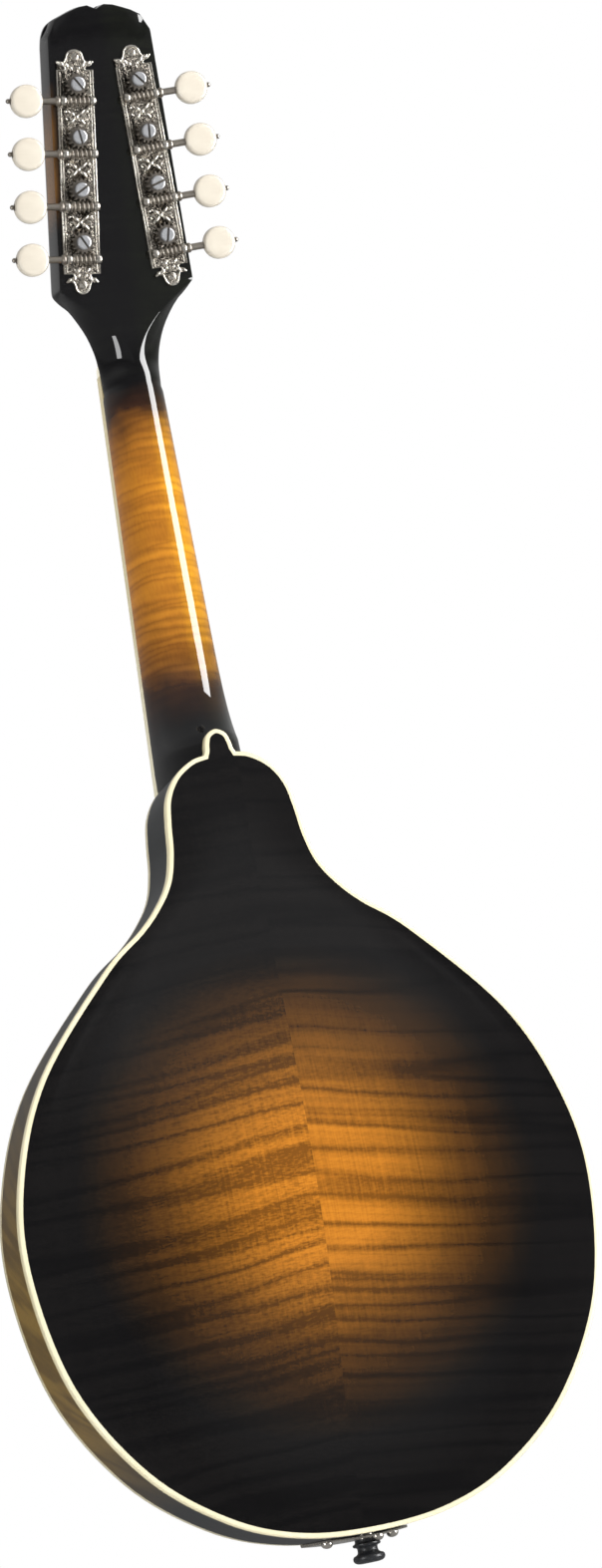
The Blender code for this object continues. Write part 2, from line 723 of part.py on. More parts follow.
def worm_mesh():
    """A worm shaft about Z, which points out to the knob; 0 is beside the string post."""
    end = KNOB_REACH + KNOB_RADIUS + GAP
    profile = [
        (SHAFT_RADIUS, -8.4), (SHAFT_RADIUS, -5.2), (1.65, -5.2), (1.65, 5.2), (SHAFT_RADIUS, 5.2),
        (SHAFT_RADIUS, 8.4), (2.1, 8.6), (2.1, 9.6), (SHAFT_RADIUS, 9.8), (SHAFT_RADIUS, end), (2.1, end + 0.5),
        (2.1, end + 2.2), (1.0, end + 3.4),
    ]
    return turned_mesh("worm_shaft_mesh", profile, 8)


def knob_mesh():
    """A button: a round domed disc that the shaft, along Z, passes through from side to side."""
    half = KNOB_THICKNESS / 2
    small = KNOB_RADIUS - 2.0
    side = half - 1.6
    rings = []
    for radius, x in ((small, -half), (KNOB_RADIUS, -side), (KNOB_RADIUS, side), (small, half)):
        rings.append([(x, a, b + KNOB_REACH) for a, b, _ in circle(radius, 0, 16)])
    disc = helper("knob_disc", [loft(rings)])
    bore = rod(Vector((0, 0, KNOB_REACH - 10)), Vector((0, 0, KNOB_REACH + 10)), SHAFT_RADIUS + 0.3, 8)
    boolean(disc, helper("knob_bore", [bore]), "DIFFERENCE")
    return frozen(disc, "knob_mesh")


def make_tuners():
    nickel = material("nickel", (0.72, 0.69, 0.62), 0.3, 1.0)
    cream = material("cream_button", (0.86, 0.80, 0.62), 0.35)
    gear = gear_mesh()
    worm = worm_mesh()
    knob = knob_mesh()
    for name, _, centre, outward, down_row in posts():
        place("gear_post_" + name, gear, nickel, at(centre, outward, HEAD_BACK))
        worm_at = at(centre + HEAD_BACK * WORM_OFF + down_row * WORM_DROP, HEAD_BACK, outward)
        place("worm_shaft_" + name, worm, nickel, worm_at)
        place("tuner_button_" + name, knob, cream, worm_at)


# Bridge, tailpiece, end pin and strings.


def make_bridge():
    ebony = material("ebony", (0.02, 0.014, 0.01), 0.4)
    brass = material("brass", (0.65, 0.47, 0.22), 0.3, 1.0)
    z = BRIDGE_H + PIN_LENGTH
    rings = []
    for step in range(13):
        x = BRIDGE_BASE_HALF * (step / 6 - 1)
        under = top_face_y(x, BRIDGE_H) - 0.8
        end_drop = max(0.0, abs(x) - 40.0) / (BRIDGE_BASE_HALF - 40.0)
        over = BRIDGE_BASE_TOP + (under - 4.0 - BRIDGE_BASE_TOP) * end_drop
        over = min(over, under - 3.0)
        section = [(-5.0, under), (5.0, under), (3.4, over), (-3.4, over)]
        rings.append([(x, y, z + across) for across, y in section])
    base = lofted("bridge_base", rings, ebony, smooth=False)
    rings = []
    low = BRIDGE_TOP_Y + SADDLE_HEIGHT
    for step in range(9):
        x = SADDLE_HALF * (step / 4 - 1)
        over = BRIDGE_TOP_Y if abs(x) < 25 else BRIDGE_TOP_Y + 1.8
        section = [(-3.2, low), (3.2, low), (1.4, over), (-1.4, over)]
        rings.append([(x, y, z + across) for across, y in section])
    saddle = lofted("bridge_saddle", rings, ebony, smooth=False)
    for side, word in ((-1, "bass"), (1, "treble")):
        foot = Vector((side * WHEEL_X, BRIDGE_BASE_TOP + 3.5, z))
        tip = Vector((side * WHEEL_X, low - 3.0, z))
        place("bridge_post_" + word, mesh_from("bridge_post", *rod(foot, tip, POST_STUD, 10)), brass)
        deeper = Vector((0, 0.4, 0))
        boolean(base, helper("base_hole_" + word, [rod(foot + deeper, tip, POST_STUD + 0.3, 10)]), "DIFFERENCE")
        reach = tip - Vector((0, 1.8, 0))
        boolean(saddle, helper("saddle_hole_" + word, [rod(foot, reach, POST_STUD + 0.4, 10)]), "DIFFERENCE")
        wheel_at = Vector((side * WHEEL_X, low + GAP, z))
        bore = POST_STUD + GAP
        profile = [(bore, 0), (WHEEL_RADIUS, 0), (WHEEL_RADIUS, WHEEL_THICKNESS), (bore, WHEEL_THICKNESS)]
        mesh = mesh_from("wheel", *loft([circle(radius, rise, 18) for radius, rise in profile], closed=True))
        place("bridge_wheel_" + word, mesh, brass, at(wheel_at, Vector((1, 0, 0)), Vector((0, 1, 0))))


def tail_curve_h(x):
    """The height of the tail's edge beside the centre line, for the bent foot of the tailpiece."""
    return x * x / (2 * TAIL_CURVE)


def make_tailpiece():
    metal = material("nickel", (0.72, 0.69, 0.62), 0.3, 1.0)
    front = -HALF_DEPTH - GAP - 0.1
    low = -GAP - 0.1
    path = [(7.0, low), (front, low), (front - 0.3, 3.0), (front - 8.2, TAIL_REACH)]
    outer = [(7.0, low - TAIL_SHEET), (front - 0.7, low - TAIL_SHEET), (front - 1.5, low), (front - 1.9, 4.0)]
    outer.append((front - 9.4, TAIL_REACH))
    columns = 8
    rings = []
    for column in range(columns + 1):
        share = 2 * column / columns - 1
        ring = []
        for y, h in path + list(reversed(outer)):
            narrowing = 1 - 0.12 * max(0.0, h) / TAIL_REACH
            x = TAIL_HALF * share * narrowing
            ring.append((x, y, h + PIN_LENGTH + tail_curve_h(x)))
        rings.append(ring)
    base = lofted("tailpiece_base", rings, metal, smooth=False)
    slope = 7.5 / (TAIL_REACH - 4.0)
    ledge_y = front - 1.9 - slope * (HOOK_H - 4.0)
    ledge = block((-17.5, ledge_y - 2.0, HOOK_H - 5.5 + PIN_LENGTH), (17.5, ledge_y + 0.6, HOOK_H - 3.0 + PIN_LENGTH))
    boolean(base, helper("hook_ledge", [ledge]), "UNION")
    hole = rod(Vector((0, 0, PIN_LENGTH - 5)), Vector((0, 0, PIN_LENGTH + 3)), PIN_SHANK + 0.5, 12)
    boolean(base, helper("tailpiece_pin_hole", [hole]), "DIFFERENCE")
    # The cover is an arched shell that is open towards the bridge and towards the top.
    shell = []
    for h, rise in ((2.0, 0.0), (10.0, 1.2), (34.0, 1.0), (TAIL_REACH - 3.0, 0.4)):
        y = front - 8.6 - slope * h - rise
        foot = front - 2.6 - slope * h
        wide = 20.5 - 2.0 * h / TAIL_REACH
        outer_side = [(-wide, foot), (-wide, y + 2.5), (3.5 - wide, y)]
        inner_side = [(wide - 1, foot), (wide - 1, y + 3), (wide - 4, y + 1)]
        section = outer_side + [(-x, q) for x, q in reversed(outer_side)]
        section += inner_side + [(-x, q) for x, q in reversed(inner_side)]
        shell.append([(x, q, h + PIN_LENGTH) for x, q in section])
    lofted("tailpiece_cover", shell, metal, smooth=False)


def make_end_pin():
    black = material("black_plastic", (0.015, 0.015, 0.015), 0.25)
    profile = [
        (4.6, 0.0), (6.3, 0.7), (PIN_HEAD, 2.2), (6.4, 3.6), (4.6, 5.8), (4.3, 7.6), (5.9, 8.8), (6.1, 9.6),
        (5.9, 10.1), (PIN_SHANK, 10.2), (PIN_SHANK - 0.3, 40.0),
    ]
    place("end_pin", turned_mesh("end_pin", profile, 16), black)


def string_route(name, share, wire):
    """A string's corners: hook, bridge saddle, nut and the inner side of its post."""
    radius = wire / 2
    hook_y = -HALF_DEPTH - 5.6 - radius
    saddle = Vector((BRIDGE_SPREAD * share, BRIDGE_TOP_Y - radius - GAP, BRIDGE_H + PIN_LENGTH))
    hook = Vector((15.0 * share, hook_y - 2.2, HOOK_H + PIN_LENGTH - 1.0))
    nut = on_board(NUT_SPREAD * share, -2.0, 1.4 + radius + GAP)
    side, centre, outward, down_row = next(entry[1:] for entry in posts() if entry[0] == name)
    beside = centre - outward * (POST_RADIUS + radius + GAP) + HEAD_BACK * HOLE_OFF
    past = beside - down_row * 2.5
    return [hook, saddle, nut, beside, past]


def make_strings():
    steel = material("string_steel", (0.7, 0.68, 0.6), 0.3, 1.0)
    sides = 6
    for name, share, wire in STRINGS:
        route = string_route(name, share, wire)
        rings = []
        for index, point in enumerate(route):
            before = route[max(index - 1, 0)]
            after = route[min(index + 1, len(route) - 1)]
            along = (after - before).normalized()
            x_axis = along.cross(Vector((0, 1, 0))).normalized()
            y_axis = along.cross(x_axis)
            ring = [circle(wire / 2, 0, sides)[k] for k in range(sides)]
            rings.append([tuple(point + x_axis * a + y_axis * b) for a, b, _ in ring])
        lofted("string_" + name, rings, steel)


def main():
    clear_scene()
    make_body()
    make_neck()
    make_overlay()
    make_truss_rod()
    make_fingerboard()
    make_nut()
    make_tuner_plates()
    make_tuners()
    make_bridge()
    make_tailpiece()
    make_end_pin()
    make_strings()


main()
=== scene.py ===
"""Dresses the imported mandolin: finer wood, binding, metal and strings over the solids, with a plain studio.

Shapes are written in millimetres and scaled by MM when a mesh is made. +Z runs up the centre line from the
tail, +Y points out of the back and +X to the treble side. h is the height above the body's tail end.
"""

import json
from bisect import bisect_right
from math import cos, hypot, pi, radians, sin, tan

import bmesh
import bpy
from mathutils import Matrix, Vector


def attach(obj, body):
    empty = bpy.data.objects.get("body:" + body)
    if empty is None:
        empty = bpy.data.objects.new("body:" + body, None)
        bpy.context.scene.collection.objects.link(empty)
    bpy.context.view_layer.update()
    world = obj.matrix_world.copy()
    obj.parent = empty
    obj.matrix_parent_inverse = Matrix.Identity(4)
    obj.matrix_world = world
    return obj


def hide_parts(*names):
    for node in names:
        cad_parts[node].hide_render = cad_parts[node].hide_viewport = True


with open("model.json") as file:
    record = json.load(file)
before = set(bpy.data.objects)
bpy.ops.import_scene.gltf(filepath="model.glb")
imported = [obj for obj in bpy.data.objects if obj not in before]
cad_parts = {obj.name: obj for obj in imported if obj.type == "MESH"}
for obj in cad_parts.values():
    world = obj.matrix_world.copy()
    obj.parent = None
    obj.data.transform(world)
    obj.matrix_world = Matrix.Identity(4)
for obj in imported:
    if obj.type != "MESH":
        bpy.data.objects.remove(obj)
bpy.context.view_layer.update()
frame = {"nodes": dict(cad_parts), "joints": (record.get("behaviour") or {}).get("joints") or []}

MM = 0.001
NODES = frame["nodes"]
JOINTS = {joint["name"]: joint for joint in frame["joints"]}

# Body.
PIN_LENGTH = 12.0
HALF_DEPTH = 20.3
BINDING_HEIGHT = 4.5
BINDING_WIDTH = 2.0
RIM_THICKNESS = 2.2
BACK_ARCH = 14.0
TOP_ARCH = 15.0
SPINE_LOW = 105.0
SPINE_HIGH = 215.0
ARCH_PEAK_H = 150.0
ARCH_END_H = 325.0
SOUNDHOLE_H = 243.0
SOUNDHOLE_WIDE = 27.0
SOUNDHOLE_HIGH = 19.0
BODY_CURVE = [
    (0.0, 0.0), (33.0, 3.1), (62.8, 15.0), (93.3, 40.0), (117.3, 80.0), (126.62, 130.0), (121.8, 170.0),
    (104.4, 210.0), (69.6, 250.0), (50.5, 265.5), (41.2, 275.0), (34.6, 285.0), (31.2, 297.0), (29.6, 310.0),
    (27.4, 321.0), (22.0, 330.0), (14.0, 335.8), (7.2, 337.6),
]
NECK_JOINT_H = 338.0
BUTTON_CURVE = [(7.2, 337.6), (6.35, 339.6), (5.9, 342.5), (4.2, 346.6), (0.0, 348.7)]
BURST_H = 145.0
BURST_HALF_WIDTH = 101.0

# Neck and headstock. s is the distance up the headstock from the nut.
NUT_H = 521.4
NUT_Y = -6.35
NECK_LEAN = radians(6.56)
SCALE_LENGTH = 352.4
FRETS = 20
BOARD_THICKNESS = 5.5
BOARD_HALF_AT_NUT = 13.4
BOARD_TAPER = 0.0295
BOARD_BINDING = 1.5
BOARD_END = SCALE_LENGTH * (1 - 2 ** (-FRETS / 12)) + 4.0
BOARD_STEP = 188.3
HEEL_START_H = 395.0
HEEL_FULL_H = 347.0
ROD_SLOT_DEPTH = 9.0
HEAD_TILT = radians(18.32)
HEAD_SET_BACK = 4.0
HEAD_THICKNESS = 15.0
HEAD_FRONT = 2.3
HEAD_BACKMOST = 60.9
HEAD_SIDE = [
    (-30.0, 12.6), (-15.0, 13.0), (0.0, 13.45), (8.0, 14.0), (15.0, 15.4), (22.0, 18.4), (28.5, 23.4),
    (33.0, 28.2), (36.2, 30.7), (39.0, 31.05),
]
HEAD_EDGE = [(148.0, 24.0), (190.0, 21.3)]
HEAD_TOP = [
    (-5.0, 162.2), (0.0, 160.0), (5.0, 162.2), (14.0, 159.0), (20.2, 155.6), (23.0, 151.0), (24.0, 145.5),
]
VOLUTE_TIP_S = -9.0
VOLUTE_END_S = 38.0
BEND_END_S = 31.0
NECK_SAMPLES = 28

# Tuners. A plate's x runs across it and its y down the row from the top post.
TUNER_NAMES = ("g1", "g2", "d1", "d2", "a1", "a2", "e1", "e2")
SLOT_TURNS = {"d2": 130, "d1": 85, "g2": 15, "g1": 75, "a1": 130, "a2": 105, "e1": 35, "e2": 125}
POST_SPACING = 23.0
POST_BORE = 3.4
POST_RADIUS = 2.9
ROW_LENGTH = 3 * POST_SPACING
WORM_DROP = 7.28
WORM_OFF = 19.6
GEAR_TEETH = 15
GEAR_PITCH_RADIUS = 4.8
THREAD_PITCH = 2 * pi * GEAR_PITCH_RADIUS / GEAR_TEETH
PLATE_WIDTH = 16.8
PLATE_TOP = HEAD_THICKNESS + 1.5
KNOB_REACH = 23.3
KNOB_RADIUS = 7.2

# Strings as (name, place across the set from -1 to 1, gauge), and the bridge.
STRINGS = [
    ("g1", -1.0, 1.0), ("g2", -0.80, 1.0), ("d1", -0.43, 0.65), ("d2", -0.24, 0.65),
    ("a1", 0.24, 0.40), ("a2", 0.43, 0.40), ("e1", 0.80, 0.30), ("e2", 1.0, 0.30),
]
NUT_SPREAD = 11.4
BRIDGE_SPREAD = 19.5
TAIL_SPREAD = 15.0
BRIDGE_H = NUT_H - SCALE_LENGTH
BRIDGE_TOP_Y = -50.3
SADDLE_LOW_Y = BRIDGE_TOP_Y + 5.6
BRIDGE_BASE_TOP = BRIDGE_TOP_Y + 9.3
FOOT_HALF_LENGTH = 58.0
SADDLE_HALF_LENGTH = 37.0
WHEEL_X = 30.0
WHEEL_HEIGHT = 1.6

# Tailpiece. Its screws are (x, y, turn).
TAIL_FRONT = -HALF_DEPTH - 0.4
TAIL_LOW = -0.4
TAIL_REACH = 56.0
TAIL_SHEET_HALF = 22.4
TAIL_SLOPE = 7.5 / (TAIL_REACH - 4.0)
COVER_LOW_H = 2.0
COVER_LENGTH = TAIL_REACH - 5.0
TAIL_SCREWS = ((17.0, 0.0, 0.4), (-4.0, 5.0, 1.2), (-11.5, 2.0, 2.1))


# Meshes and objects.


def piece(name, shape, finish, body, replaces=(), matrix=None, angle=38.0):
    """A shaded object, from a mesh or a solid, that rides on a body and stands for the CAD nodes named."""
    mesh = mesh_from(name, *shape) if isinstance(shape, tuple) else shape
    obj = bpy.data.objects.new(name, mesh)
    bpy.context.scene.collection.objects.link(obj)
    if matrix is not None:
        obj.matrix_world = matrix
    if not mesh.materials:
        mesh.materials.append(finish)
    mesh.shade_smooth()
    mesh.set_sharp_from_angle(angle=radians(angle))
    bpy.context.view_layer.update()
    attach(obj, body)
    if replaces:
        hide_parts(*replaces)
    return obj


def mesh_from(name, points, faces):
    """A mesh, in metres, of a solid given as points and faces in millimetres."""
    mesh = bpy.data.meshes.new(name)
    mesh.from_pydata([Vector(point) * MM for point in points], [], faces)
    shape = bmesh.new()
    shape.from_mesh(mesh)
    bmesh.ops.remove_doubles(shape, verts=shape.verts, dist=0.002 * MM)
    bmesh.ops.dissolve_degenerate(shape, edges=shape.edges, dist=0.0005 * MM)
    bmesh.ops.recalc_face_normals(shape, faces=shape.faces)
    shape.to_mesh(mesh)
    shape.free()
    return mesh


def loft(rings, closed=False, caps=True):
    """Points and faces of rings of equal length, joined in order."""
    size = len(rings[0])
    points = [point for ring in rings for point in ring]
    faces = []
    for index in range(len(rings) if closed else len(rings) - 1):
        this = index * size
        after = (index + 1) % len(rings) * size
        for j in range(size):
            k = (j + 1) % size
            faces.append((this + j, this + k, after + k, after + j))
    if caps and not closed:
        faces.append(tuple(range(size)))
        faces.append(tuple(range(len(points) - size, len(points))))
    return points, faces


def joined(*solids):
    """Points and faces of several solids as one list."""
    points = []
    faces = []
    for part_points, part_faces in solids:
        start = len(points)
        points.extend(part_points)
        faces.extend(tuple(start + index for index in face) for face in part_faces)
    return points, faces


def moved(solid, matrix):
    points, faces = solid
    return [tuple(matrix @ Vector(point)) for point in points], faces


def shifted(solid, x, y, z):
    return moved(solid, Matrix.Translation((x, y, z)))


def circle(radius, height, sides):
    return [(radius * cos(angle), radius * sin(angle), height) for angle in spread(0.0, 2 * pi, sides)[:-1]]


def spread(low, high, steps):
    """Evenly spaced values from low to high, with both ends."""
    return [low + (high - low) * k / steps for k in range(steps + 1)]


def mirrored(points, first=0):
    """A run of (x, y) points and, from its end back to point number first, the other half."""
    return points + [(-x, y) for x, y in reversed(points[first:-1])]


def turned(profile, sides, closed=False):
    """A solid turned about Z from (radius, height) pairs."""
    return loft([circle(max(radius, 0.001), height, sides) for radius, height in profile], closed)


def axes_at(origin, x_axis, z_axis):
    """The matrix, in millimetres, whose X and Z lie along the given directions."""
    z_axis = z_axis.normalized()
    y_axis = z_axis.cross(x_axis).normalized()
    x_axis = y_axis.cross(z_axis)
    return Matrix.Translation(origin) @ Matrix((x_axis, y_axis, z_axis)).transposed().to_4x4()


def tube(path, radius, sides=8, closed=False):
    """A round bar of one radius, or one per point, along a path of points."""
    path = [Vector(point) for point in path]
    radii = radius if isinstance(radius, list) else [radius] * len(path)
    rings = []
    side = None
    for index, point in enumerate(path):
        if closed:
            before, after = path[index - 1], path[(index + 1) % len(path)]
        else:
            before, after = path[max(index - 1, 0)], path[min(index + 1, len(path) - 1)]
        along = (after - before).normalized()
        if side is None:
            side = along.orthogonal().normalized()
        side = (side - along * side.dot(along)).normalized()
        other = along.cross(side)
        rings.append([tuple(point + side * a + other * b) for a, b, _ in circle(radii[index], 0, sides)])
    return loft(rings, closed)


def apply_cut(obj, cutter):
    """Cuts obj with a closed helper mesh, for good, and removes the helper."""
    modifier = obj.modifiers.new("cut", "BOOLEAN")
    modifier.operation = "DIFFERENCE"
    modifier.solver = "EXACT"
    modifier.object = cutter
    bpy.context.view_layer.update()
    graph = bpy.context.evaluated_depsgraph_get()
    mesh = bpy.data.meshes.new_from_object(obj.evaluated_get(graph))
    obj.modifiers.clear()
    obj.data = mesh
    mesh.shade_smooth()
    mesh.set_sharp_from_angle(angle=radians(38))
    bpy.data.objects.remove(cutter, do_unlink=True)


def helper(name, solid):
    obj = bpy.data.objects.new(name, mesh_from(name, *solid))
    bpy.context.scene.collection.objects.link(obj)
    return obj


def spline(knots, steps):
    """A Catmull-Rom curve through all but the first and last knot, with steps points in each span."""
    points = []
    for a_knot, b_knot, c_knot, d_knot in zip(knots, knots[1:], knots[2:], knots[3:]):
        for step in range(steps):
            t = step / steps
            points.append(tuple(
                0.5 * (2 * b + (c - a) * t + (2 * a - 5 * b + 4 * c - d) * t**2
                       + (3 * b - a - 3 * c + d) * t**3)
                for a, b, c, d in zip(a_knot, b_knot, c_knot, d_knot)
            ))
    points.append(knots[-2])
    return points


def share_of(value, start, end):
    """How far value is on the way from start to end, kept between 0 and 1."""
    return min(max((value - start) / (end - start), 0.0), 1.0)


def eased(value, start, end):
    share = share_of(value, start, end)
    return share * share * (3 - 2 * share)


def lookup(table, value):
    """Straight-line interpolation in a table of (key, value) pairs sorted by key."""
    keys = [key for key, _ in table]
    index = min(max(bisect_right(keys, value), 1), len(table) - 1)
    (k0, v0), (k1, v1) = table[index - 1], table[index]
    return v0 + (v1 - v0) * share_of(value, k0, k1)


# Node materials.


class Paint:
    """A Principled material under construction, with short calls for its nodes."""

    def __init__(self, name, roughness=0.4, metallic=0.0, coat=0.0, coat_roughness=0.03, specular=0.5):
        self.material = bpy.data.materials.new(name)
        self.material.use_nodes = True
        self.tree = self.material.node_tree
        self.shader = self.tree.nodes["Principled BSDF"]
        self.shader.inputs["Roughness"].default_value = roughness
        self.shader.inputs["Metallic"].default_value = metallic
        self.shader.inputs["Coat Weight"].default_value = coat
        self.shader.inputs["Coat Roughness"].default_value = coat_roughness
        self.shader.inputs["Specular IOR Level"].default_value = specular
        self.place = self.add("ShaderNodeTexCoord").outputs["Object"]

    def add(self, kind, **settings):
        node = self.tree.nodes.new(kind)
        for key, value in settings.items():
            setattr(node, key, value)
        return node

    def link(self, source, target):
        if isinstance(source, (int, float)):
            target.default_value = source
        elif isinstance(source, tuple):
            target.default_value = source if len(source) == len(target.default_value) else (*source, 1.0)
        else:
            self.tree.links.new(source, target)

    def math(self, operation, a, b=0.0, c=0.0, clamp=False):
        node = self.add("ShaderNodeMath", operation=operation, use_clamp=clamp)
        for socket, value in zip(node.inputs, (a, b, c)):
            self.link(value, socket)
        return node.outputs[0]

    def xyz(self):
        node = self.add("ShaderNodeSeparateXYZ")
        self.link(self.place, node.inputs[0])
        return node.outputs

    def vector(self, x, y, z):
        node = self.add("ShaderNodeCombineXYZ")
        for socket, value in zip(node.inputs, (x, y, z)):
            self.link(value, socket)
        return node.outputs[0]

    def scaled(self, x, y, z):
        """The place with each axis stretched by its own factor."""
        node = self.add("ShaderNodeVectorMath", operation="MULTIPLY")
        self.link(self.place, node.inputs[0])
        self.link((x, y, z), node.inputs[1])
        return node.outputs[0]

    def times(self, a, b, plus=0.0, clamp=False):
        """a times b, plus a value."""
        return self.math("MULTIPLY_ADD", a, b, plus, clamp)

    def noise(self, place, detail=3.0, rough=0.5, distortion=0.0):
        node = self.add("ShaderNodeTexNoise")
        self.link(place, node.inputs["Vector"])
        self.link(1.0, node.inputs["Scale"])
        self.link(detail, node.inputs["Detail"])
        self.link(rough, node.inputs["Roughness"])
        self.link(distortion, node.inputs["Distortion"])
        return node.outputs[0]

    def grain(self, x, y, z, detail=3.0, rough=0.5, distortion=0.0):
        """Noise with grains about 1/x, 1/y and 1/z metres long."""
        return self.noise(self.scaled(x, y, z), detail, rough, distortion)

    def ramp(self, value, stops, interpolation="LINEAR"):
        node = self.add("ShaderNodeValToRGB")
        node.color_ramp.interpolation = interpolation
        elements = node.color_ramp.elements
        while len(elements) < len(stops):
            elements.new(0.5)
        for element, (position, color) in zip(elements, stops):
            element.position = position
            element.color = (*color, 1.0) if isinstance(color, tuple) else (color, color, color, 1.0)
        self.link(value, node.inputs[0])
        return node.outputs[0]

    def mix(self, share, a, b, blend="MIX"):
        node = self.add("ShaderNodeMix", data_type="RGBA", blend_type=blend)
        self.link(share, node.inputs[0])
        self.link(a, node.inputs[6])
        self.link(b, node.inputs[7])
        return node.outputs[2]

    def color(self, source):
        self.link(source, self.shader.inputs["Base Color"])

    def roughness(self, source):
        self.link(source, self.shader.inputs["Roughness"])

    def bump(self, height, strength, distance):
        node = self.add("ShaderNodeBump")
        self.link(strength, node.inputs["Strength"])
        self.link(distance, node.inputs["Distance"])
        self.link(height, node.inputs["Height"])
        self.link(node.outputs[0], self.shader.inputs["Normal"])


# Body outline and arching.


def half_outline(button):
    """The outline's points at x >= 0, from the tail to the neck end."""
    tip = (0.0, NECK_JOINT_H)
    points = spline([(-33.0, 3.1), *BODY_CURVE, tip], 8)
    if not button:
        return points + [tip]
    x, h = BUTTON_CURVE[3]
    cap = spline([(7.6, 335.6), *BUTTON_CURVE, (-x, h)], 6)
    return points + cap[1:]


def outline(inset=0.0, button=False):
    """The whole outline as (x, h), moved inwards by inset with mitred corners."""
    ring = mirrored(half_outline(button), 1)
    if not inset:
        return ring
    moved_in = []
    for index, here in enumerate(ring):
        before = ring[index - 1]
        after = ring[(index + 1) % len(ring)]
        normals = []
        for (x0, h0), (x1, h1) in ((before, here), (here, after)):
            length = hypot(x1 - x0, h1 - h0)
            normals.append((-(h1 - h0) / length, (x1 - x0) / length))
        (ax, ah), (bx, bh) = normals
        scale = inset / (1 + ax * bx + ah * bh)
        moved_in.append((here[0] + (ax + bx) * scale, here[1] + (ah + bh) * scale))
    return moved_in


HALF_WIDTHS = [(h, x) for x, h in half_outline(False)]


def spine_h(h):
    """The height that a point at height h closes in on as the carved rings shrink to the body's spine."""
    return SPINE_LOW + (SPINE_HIGH - SPINE_LOW) * eased(h, 0.0, NECK_JOINT_H)


def arch(x, h):
    """The arch's height at a point, as a share of its full height: a smooth hill with a faint rim channel."""
    side = min(abs(x) / max(lookup(HALF_WIDTHS, h), 0.1), 1.0)
    across = 0.5 + 0.5 * cos(pi * min(side / 0.94, 1.0))
    along = share_of(h, 5.0 if h < ARCH_PEAK_H else ARCH_END_H, ARCH_PEAK_H)
    channel = 0.03 * sin(pi * min((1 - side) / 0.12, 1.0)) ** 2
    return across * (0.5 - 0.5 * cos(pi * along)) - channel


def top_y(x, h):
    return -HALF_DEPTH - TOP_ARCH * arch(x, h)


def body_ring(ring, y):
    return [(x, y, h + PIN_LENGTH) for x, h in ring]


def carved_plate(side, rise, button):
    """A carved plate's outer face, edge and hollowed inner face. side is +1 for the back."""
    edge = outline(BINDING_WIDTH, button)

    def ring(share, base, flat):
        points = []
        for x, h in edge:
            across = x * (1 - share)
            up = h + (spine_h(h) - h) * share
            lift = 0.0 if flat else rise * arch(across, up)
            points.append((across, side * (base + lift), up + PIN_LENGTH))
        return points

    steps = 30
    rings = [ring(1 - (step / steps) ** 0.9, HALF_DEPTH, step == steps) for step in range(steps + 1)]
    for share in (0, 0.08, 0.18, 0.35, 0.6, 1):
        rings.append(ring(share, HALF_DEPTH - BINDING_HEIGHT, share < 0.09))
    points, faces = loft(rings)
    return points, faces[:-2]


def swept(section, button=False):
    """A strip that follows the body's outline. section lists (inset, y) round its cross-section."""
    return loft([body_ring(outline(inset, button), y) for inset, y in section], closed=True)


# Finishes.


def dark_lines(paint, across, level, rate, seed, width):
    """Irregular lines at about rate per unit of level: 1 in the middle of each and 0 between them."""
    place = paint.vector(across, seed, paint.times(level, rate))
    away = paint.math("ABSOLUTE", paint.math("SUBTRACT", paint.noise(place, 0.6), 0.5))
    return paint.math("SUBTRACT", 1.0, paint.math("DIVIDE", away, width), clamp=True)


def flame(paint):
    """The flamed back from 0, dark, to 1, light: broad stripes on one half, close thin ones on the other."""
    x, _, z = paint.xyz()
    # The seam lies a little askew and crosses the centre line at the middle of the burst.
    x = paint.times(paint.math("SUBTRACT", z, (BURST_H + PIN_LENGTH) * MM), 0.039, x)
    broad = paint.math("GREATER_THAN", x, 0.0)
    droop = paint.times(broad, -0.075, 0.145)
    rate = paint.times(broad, -10.0, 112.0)
    seed = paint.times(broad, 3.7, 1.3)
    level = paint.times(paint.math("ABSOLUTE", x), droop, z)
    level = paint.times(paint.grain(11, 11, 11, 1.0), 0.010, level)
    level = paint.times(paint.grain(90, 90, 160, 2.0), 0.0012, level)
    across = paint.times(x, 4.5)
    lines = dark_lines(paint, across, level, rate, seed, paint.times(broad, -0.005, 0.10))
    faint = dark_lines(paint, across, level, paint.times(rate, 2.3), 8.2, 0.13)
    cloud = paint.noise(paint.vector(across, 5.5, paint.times(level, 34.0)), 1.0)
    cloud = paint.ramp(cloud, [(0.32, 0.0), (0.55, 1.0)], "EASE")
    grain = paint.grain(1000, 1000, 14, 3.0, 0.6)
    fleck = paint.times(paint.grain(420, 420, 1300, 1.0), paint.times(broad, 0.8, 0.6))
    rough = paint.times(grain, 0.9, paint.times(broad, -0.42, fleck))
    light = paint.times(cloud, 0.22, paint.math("ADD", rough, -0.02))
    drawn = paint.times(faint, 0.24, paint.times(lines, 0.72))
    return paint.math("SUBTRACT", light, drawn, clamp=True)


def burst_distance(paint, half_height):
    """0 at the middle of the body's sunburst, 1 where it is black."""
    x, _, z = paint.xyz()
    across = paint.math("DIVIDE", x, BURST_HALF_WIDTH * MM)
    up = paint.math("DIVIDE", paint.math("SUBTRACT", z, (BURST_H + PIN_LENGTH) * MM), half_height * MM)
    squares = paint.math("ADD", paint.times(across, across), paint.times(up, up))
    soft = paint.times(paint.grain(22, 22, 22, 2.0), 0.1, -0.05)
    return paint.math("ADD", paint.math("SQRT", squares), soft)


